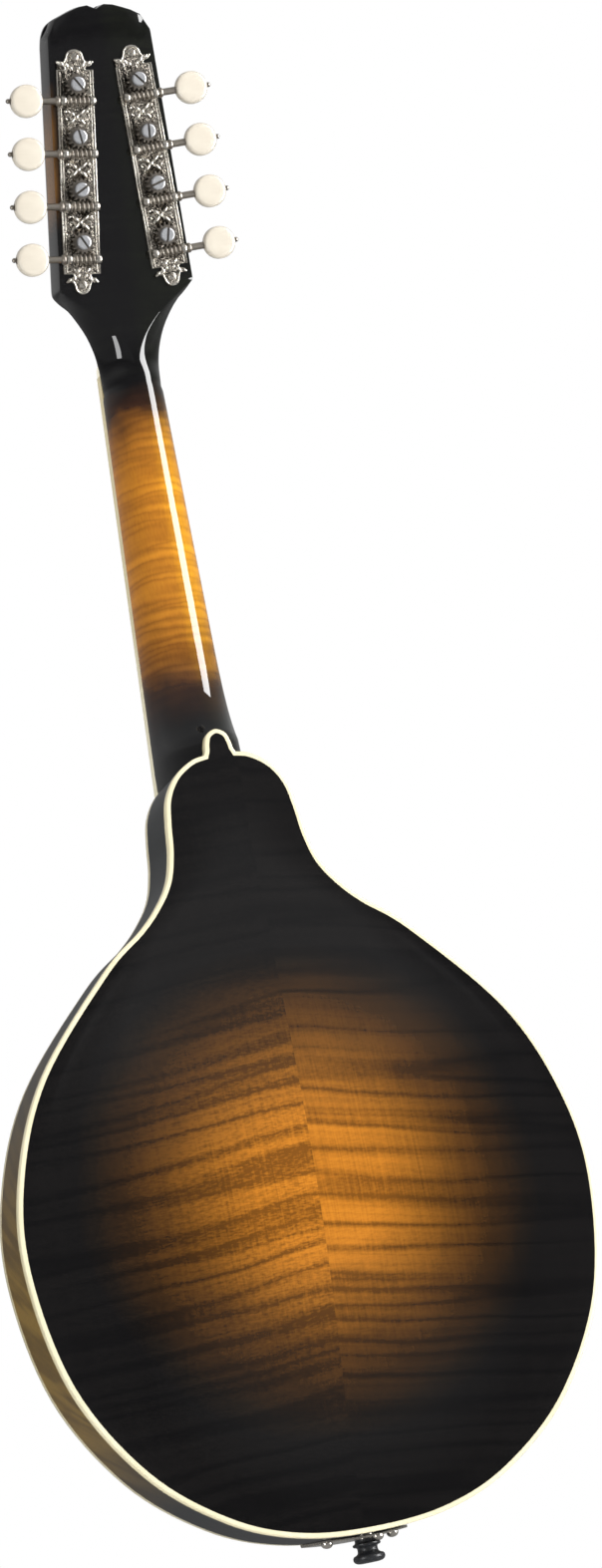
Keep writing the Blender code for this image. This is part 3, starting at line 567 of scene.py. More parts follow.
def sunburst(paint, stripes, distance):
    """Amber maple that fades to black. The fading goes by distance from 0 to 1."""
    light = paint.ramp(distance, [
        (0.0, (0.47, 0.166, 0.014)), (0.28, (0.385, 0.137, 0.012)), (0.46, (0.205, 0.076, 0.008)),
        (0.62, (0.088, 0.034, 0.005)), (0.78, (0.028, 0.012, 0.003)), (0.92, (0.008, 0.005, 0.003)),
        (1.0, (0.0035, 0.003, 0.003)),
    ])
    dark = paint.mix(1.0, light, (0.33, 0.33, 0.40), "MULTIPLY")
    return paint.mix(stripes, dark, light)


def back_maple():
    paint = Paint("back_maple", 0.45, coat=1.0, specular=0.0)
    paint.color(sunburst(paint, flame(paint), burst_distance(paint, 106.0)))
    return paint.material


def rim_maple():
    paint = Paint("rim_maple", 0.5, coat=0.2, coat_roughness=0.3, specular=0.1)
    x, y, z = paint.xyz()
    slant = paint.times(y, 0.5, z)
    band = paint.vector(paint.times(x, 60.0), paint.times(y, 20.0), paint.times(slant, 160.0))
    stripes = paint.ramp(paint.noise(band, 2.0), [(0.38, 0.0), (0.6, 1.0)], "EASE")
    fibre = paint.grain(700, 500, 700, 3.0, 0.6)
    stripes = paint.times(fibre, 0.5, paint.times(stripes, 0.55), clamp=True)
    low = paint.ramp(z, [(0.035, 0.0), (0.075, 0.85), (0.13, 1.0), (0.19, 0.45), (0.25, 0.0)])
    amber = paint.mix(stripes, (0.075, 0.042, 0.008), (0.19, 0.115, 0.020))
    black = paint.mix(fibre, (0.008, 0.009, 0.010), (0.026, 0.028, 0.030))
    paint.color(paint.mix(low, black, amber))
    return paint.material


def spruce():
    paint = Paint("top_spruce", 0.45, coat=1.0, coat_roughness=0.05, specular=0.0)
    lines = paint.grain(1100, 1, 6, 2.0)
    wood = paint.ramp(lines, [(0.35, (0.42, 0.20, 0.05)), (0.6, (0.62, 0.34, 0.10))])
    shade = paint.ramp(burst_distance(paint, 125.0), [
        (0.0, (1, 1, 1)), (0.45, (0.85, 0.72, 0.6)), (0.7, (0.4, 0.22, 0.12)),
        (0.9, (0.06, 0.03, 0.02)), (1.0, (0.02, 0.01, 0.01)),
    ])
    paint.color(paint.mix(1.0, wood, shade, "MULTIPLY"))
    return paint.material


def ivory():
    """Aged ivory plastic, with painted shade on its sides: darker and yellower there than on the faces of the
    body.
    """
    paint = Paint("ivory_binding", 0.3, coat=0.6, coat_roughness=0.06)
    _, y, _ = paint.xyz()
    tone = paint.times(paint.grain(500, 500, 40, 2.0), 0.35, paint.times(paint.grain(60, 60, 25), 0.65))
    face = paint.ramp(tone, [(0.3, (0.62, 0.57, 0.39)), (0.7, (0.70, 0.655, 0.49))])
    # Painted shade: the sides of the binding get a darker, more olive tone than its faces.
    side = paint.ramp(tone, [(0.3, (0.50, 0.42, 0.22)), (0.7, (0.60, 0.52, 0.30))])
    near_face = paint.ramp(paint.math("ABSOLUTE", y), [(0.0185, 0.0), (0.0200, 1.0)])
    paint.color(paint.mix(near_face, side, face))
    return paint.material


def neck_maple():
    """Amber maple with close cross stripes, fading to black at both ends and on the headstock, with painted
    light on its bass side.
    """
    paint = Paint("neck_maple", 0.45, coat=1.0, specular=0.0)
    x, _, z = paint.xyz()
    level = paint.times(paint.grain(28, 28, 40, 2.0), 0.007, z)
    level = paint.times(paint.grain(260, 260, 400, 2.0), 0.0012, level)
    lines = dark_lines(paint, paint.times(x, 22.0), level, 235.0, 2.0, 0.24)
    grain = paint.times(paint.grain(1300, 1300, 260), 0.5, 0.62)
    stripes = paint.math("SUBTRACT", grain, paint.times(lines, 0.75), clamp=True)
    soft = paint.times(paint.grain(80, 80, 80, 2.0), 0.012, -0.006)
    light = paint.ramp(paint.math("ADD", z, soft), [
        (0.368, (0.003, 0.003, 0.003)), (0.386, (0.030, 0.012, 0.005)), (0.402, (0.26, 0.100, 0.012)),
        (0.430, (0.46, 0.180, 0.016)), (0.480, (0.48, 0.185, 0.014)), (0.500, (0.30, 0.115, 0.012)),
        (0.512, (0.035, 0.014, 0.006)), (0.522, (0.003, 0.003, 0.003)),
    ])
    dark = paint.mix(1.0, light, (0.50, 0.46, 0.62), "MULTIPLY")
    maple = paint.mix(stripes, dark, light)
    # Painted light: the bass side of the neck, the side towards the key lamp, is made brighter and yellower.
    painted_light_maple = paint.mix(1.0, maple, (1.5, 1.75, 1.1), "MULTIPLY")
    painted_light_side = paint.ramp(paint.math("ADD", x, 0.02), [(0.013, 1.0), (0.021, 0.0)], "EASE")
    maple = paint.mix(painted_light_side, maple, painted_light_maple)
    # One side edge of the headstock shows a little amber between its black borders.
    edge_in = paint.ramp(paint.times(z, 0.0682, x), [(0.0694, 0.0), (0.0697, 1.0)])
    edge_up = paint.ramp(z, [(0.592, 0.0), (0.606, 1.0), (0.632, 0.8), (0.652, 0.0)])
    paint.color(paint.mix(paint.times(edge_in, edge_up), maple, (0.17, 0.075, 0.014)))
    return paint.material


def grained(name, grain, low, high, roughness, bump=None, **finish):
    """A material of two tones mixed by a fine grain, given as Paint.grain's arguments."""
    paint = Paint(name, roughness, **finish)
    tone = paint.grain(*grain)
    paint.color(paint.ramp(tone, [(0.3, low), (0.7, high)]))
    if bump:
        paint.bump(tone, *bump)
    return paint.material


def black_lacquer():
    tones = (0.0015, 0.0015, 0.002), (0.004, 0.0035, 0.004)
    return grained("black_lacquer", (40, 40, 40), *tones, 0.4, coat=1.0, specular=0.0)


def raw_wood():
    tones = (0.42, 0.26, 0.13), (0.60, 0.42, 0.24)
    return grained("lining_wood", (500, 500, 14), *tones, 0.65, (0.2, 0.0001))


def ebony():
    tones = (0.006, 0.004, 0.003), (0.03, 0.019, 0.012)
    return grained("ebony", (1500, 900, 60, 3.0, 0.6), *tones, 0.36, (0.15, 0.00008), specular=0.4)


def black_plastic():
    tones = (0.010, 0.011, 0.013), (0.020, 0.021, 0.024)
    return grained("black_plastic", (900, 900, 900, 2.0), *tones, 0.35, (0.12, 0.00005))


def bone():
    return grained("bone", (80, 700, 700), (0.72, 0.66, 0.50), (0.83, 0.79, 0.66), 0.4)


def nickel(name="nickel", tint=(0.74, 0.70, 0.63), roughness=0.2, metallic=1.0):
    paint = Paint(name, roughness, metallic=metallic)
    cloud = paint.grain(260, 260, 260, 4.0, 0.6)
    dull = tuple(0.72 * value for value in tint)
    paint.color(paint.ramp(cloud, [(0.3, dull), (0.65, tint)]))
    paint.roughness(paint.ramp(cloud, [(0.3, roughness + 0.14), (0.7, roughness)]))
    return paint.material


def engraved_nickel(name, cut_tint, tint, metallic=1.0):
    """Nickel with fine engraved scrollwork, darker in its cuts."""
    paint = Paint(name, 0.22, metallic=metallic)
    cuts = paint.grain(520, 520, 520, 2.0, 0.6, 1.2)
    line = paint.ramp(cuts, [(0.42, 1.0), (0.48, 0.0), (0.53, 0.0), (0.59, 1.0)])
    paint.color(paint.mix(line, cut_tint, tint))
    paint.bump(line, 0.6, 0.0002)
    return paint.material


def button_cream():
    paint = Paint("button_cream", 0.32, coat=0.5, coat_roughness=0.1)
    tone = paint.times(paint.grain(900, 300, 45, 2.0), 0.4, paint.times(paint.grain(120, 120, 60, 2.0), 0.6))
    paint.color(paint.ramp(tone, [(0.32, (0.46, 0.415, 0.345)), (0.68, (0.53, 0.49, 0.415))]))
    return paint.material


def pearl():
    paint = Paint("pearl", 0.18, coat=1.0)
    sheen = paint.grain(400, 200, 700, 2.0, 0.5, 1.5)
    tones = [(0.3, (0.62, 0.70, 0.68)), (0.5, (0.85, 0.84, 0.80)), (0.7, (0.80, 0.68, 0.74))]
    paint.color(paint.ramp(sheen, tones))
    return paint.material


def wire(name, tint, wound):
    """String metal. A wound string has a fine thread of turns along its length."""
    paint = Paint(name, 0.28, metallic=1.0)
    _, _, z = paint.xyz()
    turns = paint.math("SINE", paint.times(z, 15700.0))
    wear = paint.grain(200, 200, 200, 2.0)
    # The colour is darker between the turns, as painted shade in the grooves, over a random wear tone. Plain
    # wire keeps a faint trace of it.
    share = paint.times(wear, 0.5, paint.times(turns, 0.25 if wound else 0.02, 0.25))
    paint.color(paint.mix(share, tuple(0.55 * value for value in tint), tint))
    if wound:
        paint.bump(turns, 0.6, 0.00008)
    return paint.material


# Body pieces.


def soundhole_oval(reach, sides):
    """(x, h) points round the sound hole, reach outside its edge."""
    wide = SOUNDHOLE_WIDE + reach
    high = SOUNDHOLE_HIGH + reach
    return [(wide * a, SOUNDHOLE_H + high * b) for a, b, _ in circle(1.0, 0, sides)]


def make_body(ivory_finish):
    back = carved_plate(1, BACK_ARCH, True)
    piece("carved_back", back, back_maple(), "body", ["back_plate"])
    top = carved_plate(-1, TOP_ARCH, False)
    top = piece("carved_top", top, spruce(), "body", ["top_plate"])
    apply_cut(top, helper("soundhole", loft([body_ring(soundhole_oval(0.0, 72), y) for y in (-60.0, -10.0)])))
    make_rosette(ivory_finish)
    high = HALF_DEPTH - BINDING_HEIGHT
    rim_section = [(0, -high), (0, high), (RIM_THICKNESS, high), (RIM_THICKNESS, -high)]
    rim = piece("rim_wall", swept(rim_section), rim_maple(), "body", ["rim"])
    apply_cut(rim, helper("rim_pin_way", turned([(4.0, -2.0), (4.0, 60.0)], 24)))
    section = [
        (0.0, high), (0.0, HALF_DEPTH - 0.55), (0.18, HALF_DEPTH - 0.16), (0.6, HALF_DEPTH + 0.02),
        (BINDING_WIDTH - 0.3, HALF_DEPTH + 0.05), (BINDING_WIDTH, HALF_DEPTH), (BINDING_WIDTH, high),
    ]
    for word, side in (("back", 1), ("top", -1)):
        strip = swept([(inset, side * y) for inset, y in section], word == "back")
        name = word + "_edge_binding"
        piece(name, strip, ivory_finish, "body", [word + "_binding"], angle=50)
    raw = raw_wood()
    for name in ("back_lining", "top_lining", "neck_block", "tail_block", "cross_brace"):
        NODES[name].data.materials.clear()
        NODES[name].data.materials.append(raw)


def make_rosette(ivory_finish):
    """Inlaid rings round the sound hole: ivory between two black lines, and an outer ivory ring."""
    black = black_plastic()
    for name, first, last, finish in (
        ("rosette_inner_line", 0.0, 0.8, black), ("rosette_ivory", 0.8, 2.4, ivory_finish),
        ("rosette_outer_line", 2.4, 3.0, black), ("rosette_outer_ring", 5.0, 5.7, ivory_finish),
    ):
        rings = []
        for reach, lift in ((first, 0.12), (last, 0.12), (last, -1.0), (first, -1.0)):
            oval = soundhole_oval(reach, 96)
            rings.append([(x, top_y(x, h) - lift, h + PIN_LENGTH) for x, h in oval])
        piece(name, loft(list(zip(*rings)), closed=True), finish, "body")


# Neck and headstock.

ALONG_HEAD = Vector((0, sin(HEAD_TILT), cos(HEAD_TILT)))
HEAD_BACK = Vector((0, cos(HEAD_TILT), -sin(HEAD_TILT)))
HEAD_ORIGIN = Vector((0, NUT_Y + HEAD_SET_BACK, NUT_H + PIN_LENGTH))
DOWN_NECK = Vector((0, -sin(NECK_LEAN), -cos(NECK_LEAN)))
BOARD_FRONT = Vector((0, -cos(NECK_LEAN), sin(NECK_LEAN)))
NUT_POINT = Vector((0, NUT_Y, NUT_H + PIN_LENGTH))
HEAD_WIDTHS = [*spline([(-50.0, 12.0), *HEAD_SIDE, (41.8, 31.0)], 6), *HEAD_EDGE]
HEAD_TOP_LINE = spline([*HEAD_TOP, (24.0, 145.0)], 8)


def on_head(x, s, off):
    return HEAD_ORIGIN + Vector((x, 0, 0)) + ALONG_HEAD * s + HEAD_BACK * off


def on_board(x, t, lift):
    return NUT_POINT + Vector((x, 0, 0)) + DOWN_NECK * t + BOARD_FRONT * lift


def board_y(h):
    return NUT_Y - (NUT_H - h) * tan(NECK_LEAN)


def board_half(t):
    return BOARD_HALF_AT_NUT + BOARD_TAPER * t


def neck_section(half, depth, flat, crease, bevel, groove):
    """Back and front points (x, q) of a section: a flat middle, rounded sides with a crease, and a bevel."""
    back = []
    for angle in spread(0.0, 0.5 * pi, NECK_SAMPLES):
        side = cos(angle)
        x = flat + (half - flat) * side
        q = depth * sin(angle) * (1 - crease * side)
        back.append((x, min(q, depth - max(0.0, x - half + bevel))))
    steps = 6
    back = mirrored(back + [(flat * (1 - k / steps), depth) for k in range(1, steps + 1)])
    front = [(x, groove if abs(x) < 3.3 else 0.0) for x, _ in reversed(back)]
    return back + front


def shaft_station(h):
    """The front point, back point and half width of the neck at height h, and how full its heel is."""
    front = board_y(h) + BOARD_THICKNESS
    rise = share_of(h, HEEL_START_H, HEEL_FULL_H)
    shaft_back = front + 15.7 + 0.018 * (NUT_H - h)
    heel_back = HALF_DEPTH - BINDING_HEIGHT - 0.1
    back = shaft_back + (heel_back - shaft_back) * rise**2.4
    half = board_half((NUT_H - h) / cos(NECK_LEAN))
    return Vector((0, front, h + PIN_LENGTH)), Vector((0, back, h + PIN_LENGTH)), half, rise


def placed(front, back, section):
    depth_way = (back - front).normalized()
    return [tuple(front + Vector((x, 0, 0)) + depth_way * q) for x, q in section]


def bend(start, corner, end, share):
    """A point on the curve that leaves start towards corner and comes to end."""
    return start * (1 - share) ** 2 + corner * (2 * share * (1 - share)) + end * share**2


def head_flat(s, half):
    """Half width of the flat on the headstock's back, which narrows to a point on the neck."""
    return min(30.4 * share_of(s, VOLUTE_TIP_S, VOLUTE_END_S) ** 2.5, half - 0.5)


def heel_foot():
    """The heel's lowest section. Its points drop by the half outline, tail included, so some hang low."""
    drops = sorted({abs(x): h for x, h in half_outline(False)}.items())
    front, back, half, _ = shaft_station(NECK_JOINT_H + 0.2)
    section = neck_section(half, (back - front).length, 0.1 * half, 0.0, 0.0, 0.0)
    ring = []
    for x, y, z in placed(front, back, section):
        edge = lookup(drops, abs(x)) + PIN_LENGTH + 0.05
        ring.append((x, y, min(z, edge) if abs(x) > 1.0 else z))
    return ring


def shaft_rings():
    """Sections of the heel and the shaft, closest where the heel curves most."""
    rings = []
    for h in (*range(341, 372, 3), *range(375, 396, 4), *range(400, 491, 10), 498, 504, 509):
        front, back, half, rise = shaft_station(h)
        section = neck_section(half, (back - front).length, 0.1 * half * rise, 0.0, 0.0, ROD_SLOT_DEPTH)
        rings.append(placed(front, back, section))
    return rings


def bend_rings():
    """Sections through the bend from the shaft to the headstock, where the sides are creased."""
    low_front, low_back, _, _ = shaft_station(511.5)
    front_corner = on_head(0, 2.0, HEAD_FRONT)
    back_corner = on_head(0, 11.3, HEAD_THICKNESS)
    rings = []
    steps = 16
    for k in range(steps + 1):
        share = k / steps
        s = VOLUTE_TIP_S + (BEND_END_S - VOLUTE_TIP_S) * share
        back = bend(low_back, back_corner, on_head(0, BEND_END_S, HEAD_THICKNESS), share)
        front = bend(low_front, front_corner, on_head(0, BEND_END_S, HEAD_FRONT), share)
        half = lookup(HEAD_WIDTHS, s)
        crease = 0.3 * eased(s, -6.0, 8.0) * (1 - 0.4 * eased(s, 26.0, 31.0))
        bevel = 0.8 * eased(s, 20.0, 31.0)
        slot = ROD_SLOT_DEPTH if s < 22 else 0.0
        section = neck_section(half, (back - front).length, head_flat(s, half), crease, bevel, slot)
        rings.append(placed(front, back, section))
    return rings


def head_rings():
    """Sections of the headstock, and its two scrolled top edges."""
    depth = HEAD_THICKNESS - HEAD_FRONT
    rings = []
    for s in (32.5, 34.0, 35.5, 36.8, 37.8, 38.6, 40.0, 46.0, 60.0, 85.0, 110.0, 130.0, 142.0):
        half = lookup(HEAD_WIDTHS, s)
        crease = 0.18 * (1 - eased(s, 31.0, 38.0))
        flat = head_flat(s, half) if s < VOLUTE_END_S else half - 0.6
        section = neck_section(half, depth, flat, crease, 0.8, 0.0)
        rings.append(placed(on_head(0, s, HEAD_FRONT), on_head(0, s, HEAD_THICKNESS), section))
    for drop, shrink in ((0.8, 0.0), (0.0, 0.8)):
        ring = []
        for x, q in neck_section(24.0, depth, 23.4, 0.0, 0.8, 0.0):
            top = lookup(HEAD_TOP_LINE, abs(x)) - drop
            across, back, up = on_head(x, top, HEAD_FRONT + min(q, depth - shrink))
            ring.append((across, min(back, HEAD_BACKMOST), up))
        rings.append(ring)
    return rings


def post_holes(name, low, high):
    bars = []
    for tuner in TUNER_NAMES:
        matrix = axes_at(joint_place("post_turn_" + tuner), Vector((1, 0, 0)), HEAD_BACK)
        bars.append(moved(turned([(POST_BORE, low), (POST_BORE, high)], 28), matrix))
    return helper(name, joined(*bars))


def make_neck():
    rings = [heel_foot(), *shaft_rings(), *bend_rings(), *head_rings()]
    points, faces = loft(rings, caps=False)
    size = len(rings[0])
    for start in (0, len(points) - size):
        for j in range(size // 2 - 1):
            faces.append((start + j, start + j + 1, start + size - 2 - j, start + size - 1 - j))
    neck = piece("carved_neck", (points, faces), neck_maple(), "body", ["neck"], angle=32)
    apply_cut(neck, post_holes("neck_post_holes", -3.0, HEAD_THICKNESS + 3.0))


def make_headstock_face():
    side = [(x, s) for s, x in HEAD_WIDTHS if 8.0 < s < 147.0]
    shape = mirrored([(13.4, 7.0), *side, *reversed(HEAD_TOP_LINE)])
    middle_s = 80.0
    rings = []
    for off, inset in ((HEAD_FRONT, 0.0), (0.5, 0.0), (0.12, 0.15), (0.0, 0.5)):
        across = 1 - inset / 25
        along = 1 - inset / 76
        rings.append([tuple(on_head(x * across, middle_s + (s - middle_s) * along, off)) for x, s in shape])
    nodes = ["headstock_overlay"]
    face = piece("headstock_face", loft(rings), black_lacquer(), "body", nodes, angle=50)
    apply_cut(face, post_holes("overlay_post_holes", -3.0, 5.0))


# Fingerboard.


def fret_places():
    return [SCALE_LENGTH * (1 - 2 ** (-fret / 12)) for fret in range(1, FRETS + 1)]


def board_section(half, t, lift):
    under = -BOARD_THICKNESS + 0.02
    if t > BOARD_STEP:
        h = on_board(0, t, under).z - PIN_LENGTH
        under = -(top_y(0, h) - board_y(h)) * cos(NECK_LEAN) + 0.7
    pairs = [(-half, lift), (half, lift), (half, under), (-half, under)]
    return [tuple(on_board(x, t, y)) for x, y in pairs]


def make_fingerboard(ivory_finish, wood):
    end = BOARD_END - BOARD_BINDING
    stations = [0.0, 60.0, 120.0, BOARD_STEP - 0.1, BOARD_STEP + 0.1, 200.0, 220.0, end]
    rings = [board_section(board_half(t) - BOARD_BINDING, t, 0.0) for t in stations]
    piece("fingerboard_ebony", loft(rings), wood, "body", ["fingerboard"])
    outer = [(board_half(0), 0.0), (board_half(BOARD_END), BOARD_END)]
    inner = [(board_half(0) - BOARD_BINDING, 0.0), (board_half(BOARD_END) - BOARD_BINDING, end)]
    ring = outer + [(-x, t) for x, t in reversed(outer)] + [(-x, t) for x, t in inner] + list(reversed(inner))
    edge = loft([[tuple(on_board(x, t, lift)) for x, t in ring] for lift in (0.03, -BOARD_THICKNESS)])
    piece("fingerboard_edge", edge, ivory_finish, "body", ["fingerboard_binding"])


def make_frets():
    section = [(0.9 * cos(pi * k / 8), 0.95 * sin(pi * k / 8)) for k in range(9)]
    frets = []
    for t in fret_places():
        half = board_half(t) - 0.3
        rings = []
        for x, shrink in ((-half, 0.35), (-half + 0.5, 1.0), (half - 0.5, 1.0), (half, 0.35)):
            rings.append([tuple(on_board(x, t + a * shrink, 0.04 + b * shrink)) for a, b in section])
        frets.append(loft(rings))
    piece("frets", joined(*frets), nickel("fret_nickel", roughness=0.16), "body")


def make_position_dots():
    dot = turned([(2.4, 0), (2.4, 0.62), (2.2, 0.66)], 28)
    places = [0.0, *fret_places()]
    dots = []
    for fret, x in ((5, 0.0), (7, 0.0), (10, 0.0), (12, -6.0), (12, 6.0), (15, 0.0)):
        between = (places[fret] + places[fret - 1]) / 2
        dots.append(moved(dot, axes_at(on_board(x, between, -0.6), Vector((1, 0, 0)), BOARD_FRONT)))
    piece("position_dots", joined(*dots), pearl(), "body")


def make_nut():
    half = board_half(0) - 0.9
    low = HEAD_SET_BACK + 1.7
    section = [(-0.02, 2.0), (-0.02, -low + 1.2), (-5.2, -low + 2.2), (-4.9, 0.5), (-4.0, 1.6), (-2.4, 2.15)]
    slots = [NUT_SPREAD * share for _, share, _ in STRINGS]
    steps = 96
    rings = []
    for k in range(steps + 1):
        x = half * (2 * k / steps - 1)
        cut = 0.45 if any(abs(x - slot) < 0.45 for slot in slots) else 0.0
        rings.append([tuple(on_board(x, t, lift - (cut if lift > 0 else 0.0))) for t, lift in section])
    piece("bone_nut", loft(rings), bone(), "body", ["nut"])


# Tuners.


def metres(matrix):
    result = matrix.copy()
    result.translation = matrix.translation * MM
    return result


def joint_place(name):
    return Vector(JOINTS[name]["pos_m"]) / MM


def joint_axis(name):
    return Vector(JOINTS[name]["axis"]).normalized()


def finial(width_share, length_share):
    """The right half of a plate's end: its corner, a hooked ear and a rounded lobe, as (x, reach)."""
    knots = [
        (5.5, 0.15), (4.7, 0.9), (5.6, 1.7), (7.4, 2.2), (8.3, 4.3), (6.7, 3.3), (5.1, 4.0), (4.2, 5.8),
        (3.6, 7.8), (2.1, 9.4), (0.0, 10.0), (-2.1, 9.4),
    ]
    knots = [(x * width_share, y * length_share) for x, y in knots]
    corner = (PLATE_WIDTH / 2, 0.0)
    return [corner, *spline([corner, *knots], 4)]


def plate_outline():
    """The plate in its own plane as (x, y), with y down the row from the top post."""
    top = [(x, -6.6 - y) for x, y in finial(1.0, 0.9)]
    low = [(x, ROW_LENGTH + 13.5 + y) for x, y in finial(0.86, 0.9)]
    return mirrored([*reversed(top), *low], 1)


def shrunk(ring, inset):
    """A closed clockwise (x, y) outline moved inwards."""
    result = []
    for index, here in enumerate(ring):
        along = Vector(ring[(index + 1) % len(ring)]) - Vector(ring[index - 1])
        along.normalize()
        result.append((here[0] - along.y * inset, here[1] + along.x * inset))
    return result


def dome(x, y, base, radius, height, sides=10, squash=1.0, turn=0.0):
    """A low bump standing on a face. squash and turn make a leaf of it."""
    rings = []
    for share in (0.0, 0.35, 0.65, 0.88, 0.99):
        reach = radius * cos(0.5 * pi * share)
        level = base + height * sin(0.5 * pi * share)
        ring = []
        for a, b, _ in circle(reach, 0, sides):
            b *= squash
            ring.append((x + a * cos(turn) - b * sin(turn), y + a * sin(turn) + b * cos(turn), level))
        rings.append(ring)
    return loft(rings)


def scroll(x, y, hand, lean, base):
    """A raised volute: a bar that winds in towards its eye."""
    path = []
    radii = []
    for k in range(17):
        share = k / 16
        reach = 2.3 * (1 - share) ** 1.2 + 0.35
        angle = lean + hand * 4.8 * share
        path.append((x + reach * cos(angle), y + reach * sin(angle), base + 0.1))
        radii.append(0.22 + 0.2 * (1 - abs(1 - 2 * share)))
    return joined(tube(path, radii, 6), dome(x, y, base, 0.5, 0.5, 8))


def slotted_screw(radius, height, turn, slot):
    """A domed screw head on z = 0 in two halves beside its open slot."""
    profile = [(radius, 0.0), (radius, 0.62 * height), (0.93 * radius, 0.88 * height), (0.8 * radius, height)]
    solids = []
    sides = 18
    for base in (0.0, pi):
        rings = []
        for reach, level in profile:
            start = 0.5 * slot / reach
            angles = [turn + base + start + (pi - 2 * start) * k / sides for k in range(sides + 1)]
            rings.append([(reach * cos(angle), reach * sin(angle), level) for angle in angles])
        solids.append(loft(rings))
    return joined(*solids)


def finial_relief(centre_y, hand, base):
    """The raised ring, leaves and beads on one end of a plate. hand is 1 at the low end and -1 at the top."""
    solids = []
    arc = [pi * k / 14 for k in range(15)]
    inner = [(2.7 * cos(a), centre_y + hand * (1.0 + 2.7 * sin(a)), base) for a in arc]
    solids.append(tube(inner, 0.36, 6))
    for side in (-1, 1):
        solids.append(dome(side * 3.7, centre_y - hand * 2.3, base, 1.7, 0.6, 10, 0.45, side * hand * 0.9))
        solids.append(dome(side * 6.1, centre_y - hand * 1.5, base, 1.5, 0.5, 10, 0.4, side * hand * 0.6))
        solids.append(dome(side * 1.7, centre_y - hand * 3.7, base, 0.8, 0.5, 8))
    return joined(*solids)


def leaf_cross(y, base):
    """Four leaves about a bead, with a scroll and a bead at each side, between two posts."""
    solids = [dome(0, y, base, 1.1, 0.75, 10)]
    for side in (-1, 1):
        for up in (-1, 1):
            solids.append(dome(side * 2.3, y + up * 1.9, base, 2.3, 0.8, 10, 0.38, side * up * 0.72))
        solids.append(scroll(side * 4.4, y + 1.0, side, pi / 2, base))
        solids.append(dome(side * 4.9, y - 2.4, base, 0.8, 0.6, 8))
    return joined(*solids)


def plate_relief(ring):
    """The raised borders, beads, scrolls and leaves of an engraved plate."""
    base = PLATE_TOP - 0.05
    half = PLATE_WIDTH / 2
    low_end = ROW_LENGTH + 13.3
    border = [(x, y, base) for x, y in shrunk(ring, 0.4)]
    solids = [tube(border, 0.36, 8, closed=True)]
    beads = 94
    for hand in (-1, 1):
        inner = hand * (half - 1.55)
        solids.append(tube([(inner, -5.8, base), (inner, low_end - 0.4, base)], 0.26, 8))
        for k in range(beads + 1):
            y = -5.6 + (low_end + 4.9) * k / beads
            if all(abs(y - index * POST_SPACING - WORM_DROP) > 3.1 for index in range(4)):
                solids.append(dome(inner, y, base + 0.1, 0.36, 0.36, 6))
    solids.append(finial_relief(-11.0, -1, base))
    solids.append(finial_relief(low_end + 4.6, 1, base))
    for index in range(3):
        solids.append(leaf_cross(index * POST_SPACING + 13.9, base))
    for side in (-1, 1):
        solids.append(dome(side * 2.4, ROW_LENGTH + 11.8, base, 1.7, 0.5, 10, 0.5, -side * 0.6))
    return joined(*solids)


def lug_solid(reach):
    """A round-topped bearing cheek about the worm shaft, in the plate's axes at the shaft's foot."""
    rise = WORM_OFF
    profile = [(-2.3, PLATE_TOP - 0.3), (2.3, PLATE_TOP - 0.3)]
    profile += [(2.2 * cos(pi * k / 12), rise + 2.2 * sin(pi * k / 12)) for k in range(13)]
    rings = []
    for x, shrink in ((reach - 1.0, 0.94), (reach - 0.75, 1.0), (reach + 0.75, 1.0), (reach + 1.0, 0.94)):
        rings.append([(x, y * shrink, rise + (z - rise) * shrink) for y, z in profile])
    return loft(rings)


def make_tuner_plates(metal, engraved):
    for node, side in (("tuner_plate_bass", -1), ("tuner_plate_treble", 1)):
        posts = [joint_place("post_turn_" + name) for name in TUNER_NAMES]
        row = sorted((post for post in posts if post.x * side > 0), key=lambda post: -post.z)
        down = (row[-1] - row[0]).normalized()
        place = metres(axes_at(row[0], HEAD_BACK.cross(-down), HEAD_BACK))
        ring = plate_outline()
        levels = ((0.0, HEAD_THICKNESS + 0.05), (0.0, PLATE_TOP - 0.3), (0.25, PLATE_TOP))
        slab = loft([[(x, y, height) for x, y in shrunk(ring, inset)] for inset, height in levels])
        plate = piece(node + "_sheet", slab, engraved, "body", [node], place, 30)
        bore = turned([(POST_BORE, 13.0), (POST_BORE, 18.0)], 24)
        bores = [shifted(bore, 0, index * POST_SPACING, 0) for index in range(4)]
        cutter = helper(node + "_bores", joined(*bores))
        cutter.matrix_world = place
        apply_cut(plate, cutter)
        piece(node + "_relief", plate_relief(ring), metal, "body", [], place, 60)
        cheeks = []
        for index in range(4):
            for reach in (-6.5, 6.7):
                cheeks.append(shifted(lug_solid(reach), 0, index * POST_SPACING + WORM_DROP, 0))
        piece(node + "_lugs", joined(*cheeks), metal, "body", [], place, 35)
        screws = []
        for y, turn in ((-12.2, 0.7), (ROW_LENGTH + 18.1, 2.2)):
            screws.append(shifted(slotted_screw(1.7, 0.8, turn, 0.5), 0, y, PLATE_TOP))
        piece(node + "_screws", joined(*screws), metal, "body", [], place, 40)


def gear_solid(start):
    """A helical gear about Z at the worm's level. start is the direction of the worm, which faces a gap."""
    flank = [(0.5, 4.25), (0.31, 4.35), (0.21, 4.95), (0.1, 5.33)]
    tooth = [(-share, radius) for share, radius in flank] + [(0.0, 5.4), *reversed(flank[1:])]
    rings = []
    for rise, shrink in ((-1.3, 0.35), (-1.0, 0.0), (1.0, 0.0), (1.3, 0.35)):
        ring = []
        for index in range(GEAR_TEETH):
            for share, radius in tooth:
                angle = start + 2 * pi * (index + 0.5 + share) / GEAR_TEETH + 0.15 * rise / GEAR_PITCH_RADIUS
                reach = radius - shrink * (radius > 4.3)
                ring.append((reach * cos(angle), reach * sin(angle), WORM_OFF + rise))
        rings.append(ring)
    return loft(rings)


